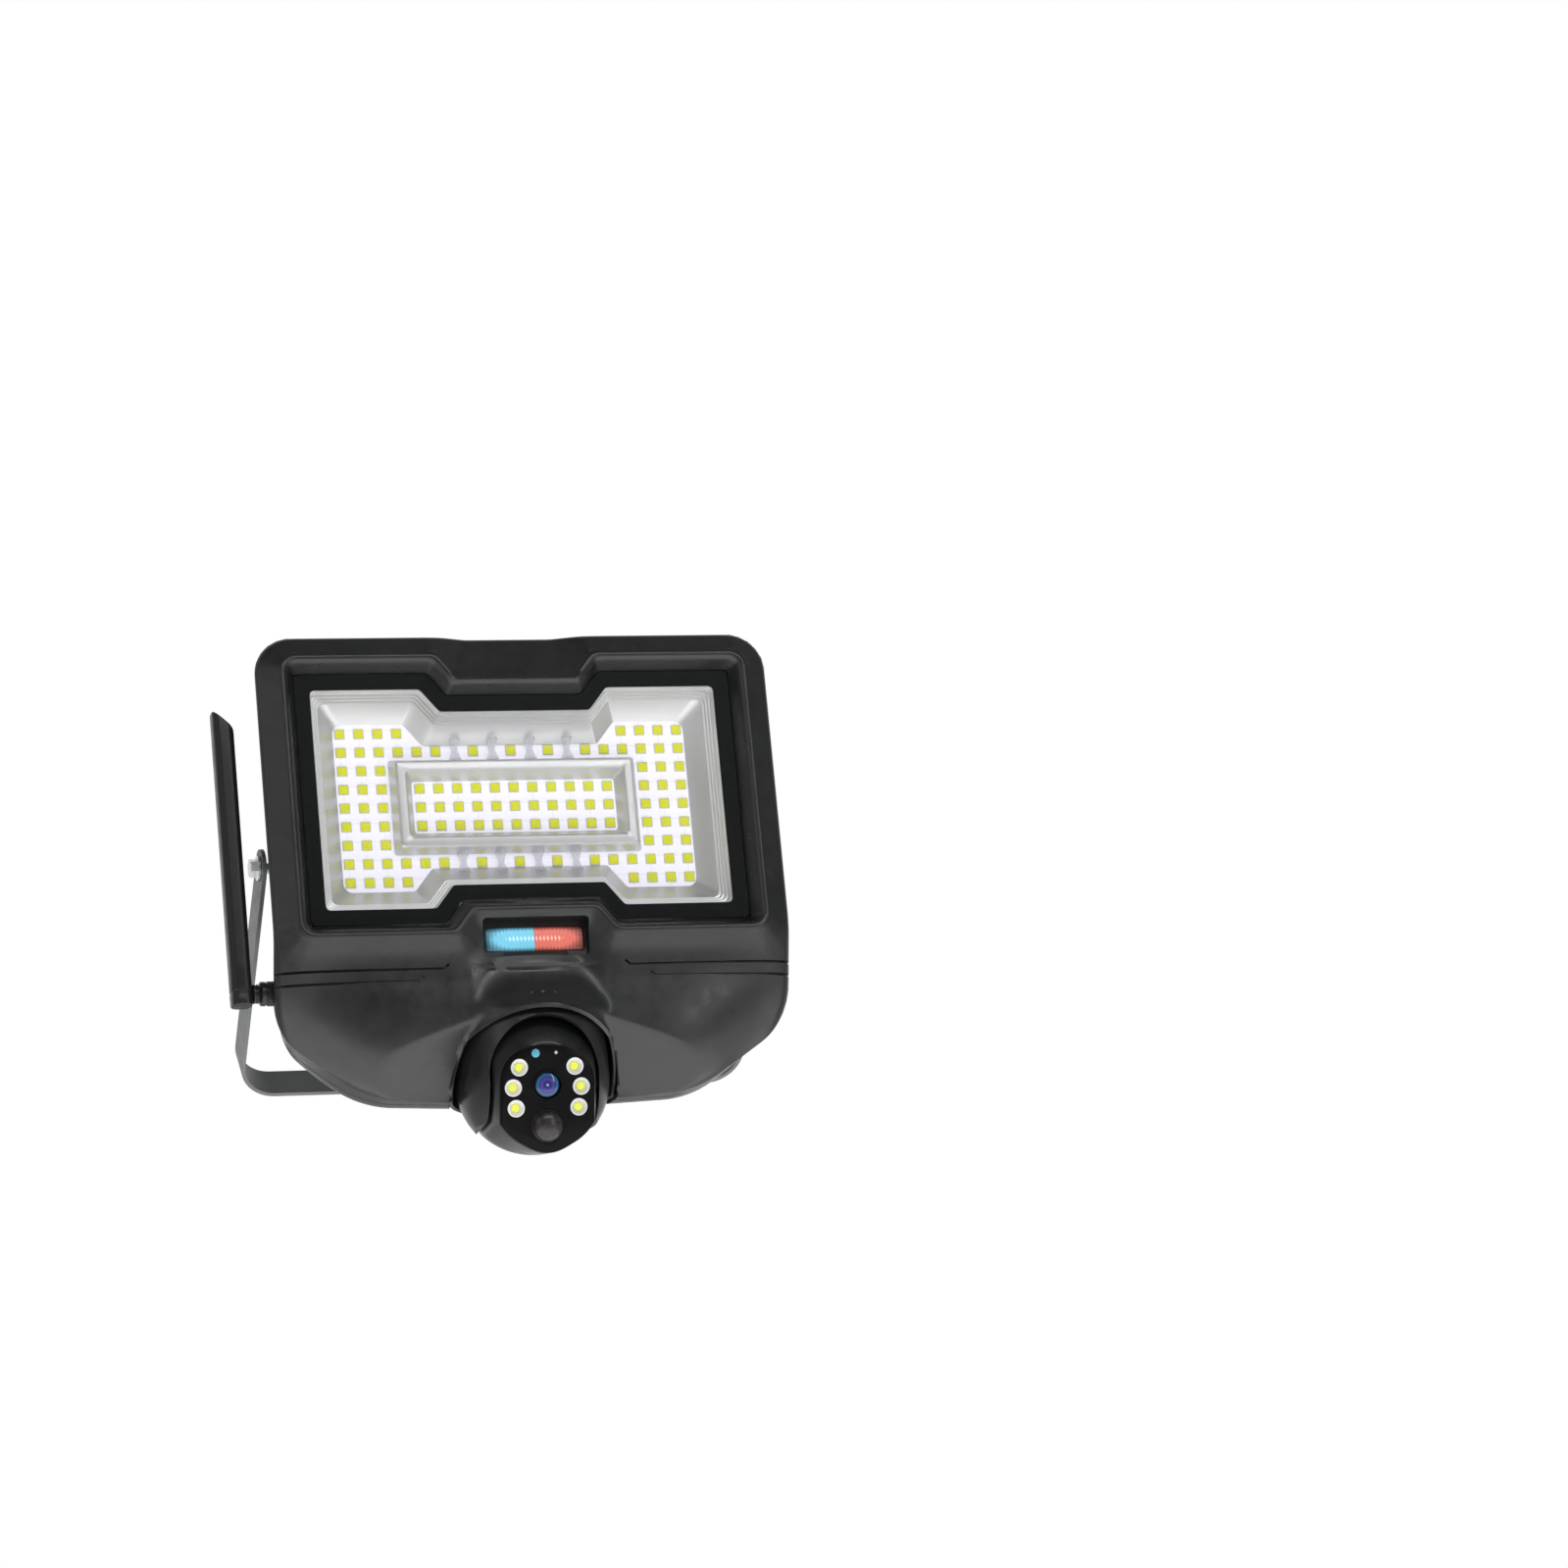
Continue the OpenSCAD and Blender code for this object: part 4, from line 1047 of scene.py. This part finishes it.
# ---- Antenna ----
def build_antenna():
    x0 = to_head(JOINTS["antenna_swivel"]["pos_m"])
    y, z = x0[1], x0[2]
    lo, hi = head_box("antenna_paddle")
    mid, half, base, top = (lo[0] + hi[0]) / 2, (hi[0] - lo[0]) / 2, lo[2], hi[2]

    outline, _ = fillet([(half, 5.8), (-half, 5.8), (-half, -5.8), (half, -5.8)], [3.6] * 4, 9)

    def section(scale, height):
        x = outline[:, 0] * scale
        return np.column_stack([x + mid, outline[:, 1] * scale + y, np.full(len(x), height(x))])

    steps = ((0.84, 0.02), (0.95, 0.35), (0.99, 1.0), (1, 2.0), (1, 6), (0.965, 6.3), (0.965, 6.9), (1, 7.2))
    levels = [(scale, base + rise) for scale, rise in steps]
    levels += [(1, h) for h in np.linspace(base + 20, top - 24, 6)]
    rings = [section(scale, lambda x: h) for scale, h in levels]
    rings += [section(scale, lambda x: top - drop - 0.92 * (x + half))
              for scale, drop in ((1, 2.4), (0.985, 1.2), (0.94, 0.5), (0.86, 0.3))]
    blade = loft("antenna_blade", rings)
    finish_piece(blade, "antenna", "dark_plastic", ["antenna_paddle"], angle=35)
    inner = mid + half - 0.4
    knuckle = [(0, inner), (3.0, inner), (3.4, -133.4), (4.3, -133.2), (4.6, -132.8), (4.6, -132.2),
               (4.2, -131.9), (4.2, -131.5), (4.6, -131.2), (4.6, -130.8), (4.3, -130.5), (0, -130.45)]
    hinge = revolve("antenna_hinge", knuckle, "x", (0, y, z), 48)
    finish_piece(hinge, "antenna", "dark_plastic", ["antenna_knuckle"])
    collar = [(0, -130.0), (4.4, -130.0), (5.2, -129.8), (5.75, -129.3), (5.75, -127.4), (5.3, -127.1),
              (5.3, -126.6), (5.75, -126.3), (5.75, -121.6), (5.0, -121.2), (3.2, -121.1), (3.2, -114),
              (0, -114)]

    def knurl(angles, radius, height):
        return 1 + (0.016 * np.cos(24 * angles) if radius > 5.6 and height > -126.5 else 0 * angles)

    finish_piece(revolve("antenna_collar", collar, "x", (0, y, z), 144, knurl), "head", "dark_plastic",
                 ["antenna_socket"])


# ---- Camera ----
def tilt_point(points):
    """Points drawn level round the ball's centre, tilted down to the rest pose."""
    points = np.asarray(points, float)
    c, s = math.cos(REST_TILT), math.sin(REST_TILT)
    y, z = points[:, 1] * c - points[:, 2] * s, points[:, 1] * s + points[:, 2] * c
    return np.column_stack([points[:, 0], y + PAN_Y, z + BALL_Z])


def tilted(obj):
    """Moves a mesh made round the ball's own centre into place."""
    co = np.array([v.co for v in obj.data.vertices])
    placed = to_row(tilt_point(to_head(co)))
    for vertex, point in zip(obj.data.vertices, placed):
        vertex.co = point
    return obj


FACE_HALF, FACE_TOP, LOBE_R, PIR_V = 23.35, 19.5, 12.5, 19.3
BALL_HALF = 25.1


def face_radius(angles, inset=0.0):
    """Distance of the face plate's edge from the axis, by angle in its plane."""
    c, s = np.cos(angles), np.sin(angles)
    side = (FACE_HALF - inset) / np.maximum(np.abs(c), 1e-6)
    a, b = FACE_HALF - inset, FACE_TOP - inset
    power = 2.35
    upper = 1 / (np.abs(c / a) ** power + np.abs(s / b) ** power) ** (1 / power)
    r = 27.2 - inset
    lower_circle = -4 * s + np.sqrt(np.maximum(r * r - (4 * c) ** 2, 0))
    body = np.minimum(side, lower_circle)
    lobe_r = LOBE_R - inset
    across = PIR_V * c
    hit = np.sqrt(np.maximum(lobe_r ** 2 - across ** 2, 0))
    lobe = np.where((np.abs(across) < lobe_r) & (s < 0), PIR_V * -s + hit, 0)
    lower = smooth_max(body, lobe, 4.0)
    blend = smooth_step(s, -0.25, 0.1)
    return lower * (1 - blend) + upper * blend


def face_ring(angles, inset, y):
    return polar_ring(angles, face_radius(angles, inset), y)


def ball_ring(angles, y, inset=0.0):
    """A ring of the ball at depth y: the sphere, widened to the face plate and flattened at the cheeks."""
    edge_y, edge = -FACE_D + 0.9, face_radius(angles, 0.3)
    big = BALL_R - inset
    dist = np.hypot(edge_y, edge)
    lean = np.arctan2(edge, -edge_y)
    tangent = lean + np.arccos(np.clip(big / dist, -1, 1))
    ty, tr = -big * np.cos(tangent), big * np.sin(tangent)
    share = np.clip((y - edge_y) / np.maximum(ty - edge_y, 1e-6), 0, 1)
    line = edge + (tr - edge) * share
    sphere = math.sqrt(max(big * big - y * y, 0.0))
    r = np.where(y < ty, line - inset * 0.6, sphere)
    cheek = (BALL_HALF - inset) / np.maximum(np.abs(np.cos(angles)), 1e-6)
    r = smooth_min(r, cheek, 1.6)
    return polar_ring(angles, r, y)


def build_ball():
    angles = turns(160)
    seam = 0.12
    near_face = -FACE_D + 0.9 + 11.1 * np.linspace(0, 1, 16) ** 1.3
    front_ys = np.concatenate([near_face, np.linspace(-18, -seam, 20)[1:]])
    seat = ((2.4, 0.7), (0.9, 0.62), (0.45, 0.7))
    outer = [face_ring(angles, inset, -FACE_D + lift) for inset, lift in seat]
    outer += [ball_ring(angles, y) for y in front_ys]
    inner = [ball_ring(angles, y, 1.8) for y in (-seam, -8, -16, -22, -26)]
    shell = tilted(loft("camera_shell_front", outer + inner, closed=True))
    finish_piece(shell, "camera", "black_plastic", ["ball_front_shell"], angle=35)
    back = [BALL_R * math.cos(t) for t in np.radians(np.linspace(90, 3, 30))]
    outer = [ball_ring(angles, max(y, seam)) for y in back]
    rear = tilted(loft("camera_shell_rear", outer, first_cap=False))
    finish_piece(rear, "camera", "black_plastic", ["ball_rear_shell"], angle=35)
    build_face(angles)


SPOTS = ((13.4, 8.5), (16.4, -1.0), (15.1, -10.7))
FRONT = -FACE_D - 0.4


def on_face(*profile):
    """A profile whose heights count from the front of the face plate."""
    return [(r, FRONT + height) for r, height in profile]


def build_face(angles):
    """The gloss plate with its openings, and what sits in them."""
    edge = ((0.75, 1.05), (0.6, 0.5), (0.75, 0.18), (1.15, 0.0))
    plate = loft("camera_face", [face_ring(angles, inset, FRONT + back) for inset, back in edge])
    holes = [(0, 0, 7.45, 64), (0, -PIR_V, 7.75, 64), (-5.5, 15.0, 2.1, 32), (4.3, 15.2, 0.9, 24)]
    holes += [(s * x, z, 4.15, 48) for x, z in SPOTS for s in (-1, 1)]
    carve(plate, [rod((x, -40, z), (x, -20, z), r, segments) for x, z, r, segments in holes])
    finish_piece(tilted(plate), "camera", "gloss_black", ["face_plate"])
    build_lens()
    build_spots()
    dome = on_face((6.2, 2.2), (7.7, 2.2), (7.7, 0.15), (7.35, -0.1), (7.2, -0.35))
    dome += curve(7.2, 8, 88, 14, FRONT - 0.35, -4.3)
    dome += curve(5.4, 88, 4, 8, FRONT, -3.6)
    pir = revolve("detector_dome", dome, "y", (0, 0, -PIR_V), 72)
    finish_piece(tilted(pir), "camera", "smoked_plastic", ["pir_dome"], angle=40)
    for name, node, slot, x, z, r in (("light_sensor", "light_sensor_window", "cyan_window", -5.5, 15.0, 2.0),
                                      ("status_lamp", "status_light", "pale_light", 4.3, 15.2, 0.8)):
        bead = on_face((0, 1.0), (r, 1.0), (r, 0.1), (r * 0.8, -0.15), (r * 0.4, -0.25), (0, -0.28))
        finish_piece(tilted(revolve(name, bead, "y", (x, 0, z), 32)), "camera", slot, [node])


def build_lens():
    ring = on_face((6.05, 3), (7.4, 3), (7.4, -0.35), (7.15, -0.6), (6.75, -0.62), (6.5, -0.4), (6.4, 0.3),
                   (6.05, 0.9))
    bezel = tilted(ring_solid("lens_bezel", ring))
    finish_piece(bezel, "camera", "dark_plastic", ["lens_barrel"], material="gloss_black")
    glass = on_face((0, 2.6), (6.1, 2.6), (6.1, 0.8)) + curve(6.1, 8, 88, 12, FRONT + 0.8, -1.25)
    lens = tilted(revolve("lens_element", glass, "y", (0, 0, 0), 64))
    finish_piece(lens, "camera", "coated_lens", ["lens_glass"], angle=60)


def ring_solid(name, profile, centre=(0, 0, 0), segments=64):
    """A solid of revolution round Y with a hole: the profile closes on itself."""
    rings = [polar_ring(turns(segments), r, y) + np.array(centre) for r, y in profile]
    return loft(name, rings, closed=True)


def build_spots():
    cups, chips, lenses = [], [], []
    cup = on_face((4.1, 2.6), (4.1, 0.1), (3.75, -0.05), (3.5, 0.1), (2.1, 1.9), (2.0, 2.6))
    chip = on_face((0, 2.55), (2.05, 2.55), (2.05, 1.7), (1.5, 1.35), (0, 1.25))
    lens = on_face((0, 0.6), (3.35, 0.6), (3.45, 0.2)) + curve(3.45, 15, 88, 8, FRONT + 0.2, -0.7)
    for x, z in SPOTS:
        for s in (-1, 1):
            centre = (s * x, 0, z)
            cups.append(ring_solid("cup", cup, centre, 40))
            chips.append(revolve("chip", chip, "y", centre, 32))
            lenses.append(revolve("lens", lens, "y", centre, 32))
    finish_piece(tilted(join("spot_cups", cups)), "camera", "clear_plastic", material="cup_white")
    finish_piece(tilted(join("spot_chips", chips)), "camera", "phosphor_yellow", ["spot_leds"])
    domes = tilted(join("spot_domes", lenses))
    finish_piece(domes, "camera", "clear_plastic", ["spot_lenses"], "lens_clear", 50)


def build_yoke():
    """Round carrier of the ball, open in an arch at the front and cut flat under the cheeks."""
    profile = [(0, -YOKE_R)] + curve(YOKE_R, -80, 0, 20) + [(YOKE_R, 10), (YOKE_R, 20)]
    profile += curve(YOKE_R, 5, 60, 16, 20, 20) + [(0, 37.3)]
    body = revolve("camera_yoke", profile, "z", (0, PAN_Y, BALL_Z), 144)
    in_r, half, arch_z = YOKE_R - 1.1, 26.4, BALL_Z - 3.1
    space = [(0, -60), (in_r, -60), (in_r, 12)] + curve(in_r, 0, 88, 16, 12, 24.2)
    inside = revolve("cut", space, "z", (0, PAN_Y, BALL_Z), 144)
    carve(inside, [box((-half, PAN_Y - 90, BALL_Z - 90), (half, PAN_Y + 90, BALL_Z + 90))], "INTERSECT")
    arch = rod((0, PAN_Y - 60, arch_z), (0, PAN_Y, arch_z), half, 96)
    open_front = box((-half, PAN_Y - 60, BALL_Z - 64), (half, PAN_Y, arch_z))
    open_back = box((-half, PAN_Y - 1, BALL_Z - 58), (half, PAN_Y + 60, BALL_Z + 4))
    flat = box((-60, PAN_Y - 60, BALL_Z - 60), (60, PAN_Y + 60, BALL_Z - 22.5))
    carve(body, [inside, arch, open_front, open_back, flat])
    bevel(body, 0.5, 2, 50)
    finish_piece(body, "yoke", "black_plastic", ["yoke"], angle=35)


# ---- CAD nodes that carry over ----
def dress_nodes():
    """Gives every CAD node that stays its material and soft edges."""
    for part in frame["record"]["subparts"]:
        obj = frame["nodes"][part["node"]]
        paint(obj, part["material_slot"])
        if part["node"] in ("flood_leds", "outer_reflector"):
            continue
        bevel(obj, 0.25, 2, 40)


# ---- Camera, light and floor ----
AZIMUTH, ELEVATION, ROLL = math.radians(-16.597), math.radians(-15.862), math.radians(-5.590)
DISTANCE, SHIFT_X, SHIFT_Z = 2903.72, -128.473, -10.539
LENS = 139.6


def build_camera():
    back = Vector((math.sin(AZIMUTH) * math.cos(ELEVATION), -math.cos(AZIMUTH) * math.cos(ELEVATION),
                   math.sin(ELEVATION)))
    level = Vector((0, 0, 1)).cross(back).normalized()
    upright = back.cross(level)
    c, s = math.cos(ROLL), math.sin(ROLL)
    right, up = level * c + upright * s, upright * c - level * s
    place = back * DISTANCE - right * SHIFT_X - up * SHIFT_Z + Vector((0, BOARD_Y, 0))
    data = bpy.data.cameras.new("photo_camera")
    data.lens = LENS
    data.sensor_width = 36
    data.clip_end = 50
    camera = bpy.data.objects.new("photo_camera", data)
    turn = Matrix((right, up, back)).transposed().to_4x4()
    camera.matrix_world = Matrix.Translation(Vector(to_row(np.array(place)))) @ turn
    bpy.context.scene.collection.objects.link(camera)
    bpy.context.scene.camera = camera


def soft_light(name, aim, offset, size, power):
    """A rectangular light at an offset from what it is aimed at."""
    data = bpy.data.lights.new(name, "AREA")
    data.shape = "RECTANGLE"
    data.size, data.size_y = size
    data.energy = power
    lamp = bpy.data.objects.new(name, data)
    lamp.location = aim + np.array(offset)
    lamp.rotation_mode = "QUATERNION"
    lamp.rotation_quaternion = (-Vector(offset)).to_track_quat("-Z", "Y")
    bpy.context.scene.collection.objects.link(lamp)


def build_stage():
    world = bpy.data.worlds.new("studio")
    bpy.context.scene.world = world
    world.use_nodes = True
    tree = world.node_tree
    place = tree.nodes.new("ShaderNodeTexCoord")
    split = tree.nodes.new("ShaderNodeSeparateXYZ")
    tree.links.new(place.outputs["Generated"], split.inputs[0])
    spread = tree.nodes.new("ShaderNodeMapRange")
    for key, value in (("From Min", -0.35), ("From Max", 0.55), ("To Min", 0.16), ("To Max", 1.0)):
        spread.inputs[key].default_value = value
    tree.links.new(split.outputs["Y"], spread.inputs["Value"])
    background = tree.nodes["Background"]
    tree.links.new(spread.outputs["Result"], background.inputs["Strength"])
    background.inputs["Color"].default_value = (1, 1, 1, 1)
    aim = to_row((0, 20, -20))
    soft_light("key", aim, (0.3, -2.0, 1.15), (1.9, 0.13), 16)
    soft_light("fill", aim, (-1.6, -1.2, 0.4), (1.0, 1.4), 4)
    soft_light("under", aim, (0.0, -0.15, -0.95), (2.6, 2.0), 26)
    soft_light("side", aim, (1.1, -2.0, 0.1), (0.14, 1.5), 7)
    floor_z = to_row((0, 0, -1150))[2]
    verts = [(x, y, floor_z) for x, y in ((-9, -9), (9, -9), (9, 9), (-9, 9))]
    floor = new_object("floor", verts, [(0, 1, 2, 3)], metres=True)
    n = Nodes("floor_paint")
    n.set(Base_Color=n.mix(n.noise(3), (0.82, 0.82, 0.81), (0.86, 0.86, 0.85)), Roughness=0.8)
    floor.data.materials.append(n.material)
    settings = bpy.context.scene.view_settings
    settings.view_transform = "Standard"


build_camera()
build_stage()
dress_nodes()
build_head()
build_lamp()
build_alarm()
build_bracket()
build_antenna()
build_yoke()
build_ball()
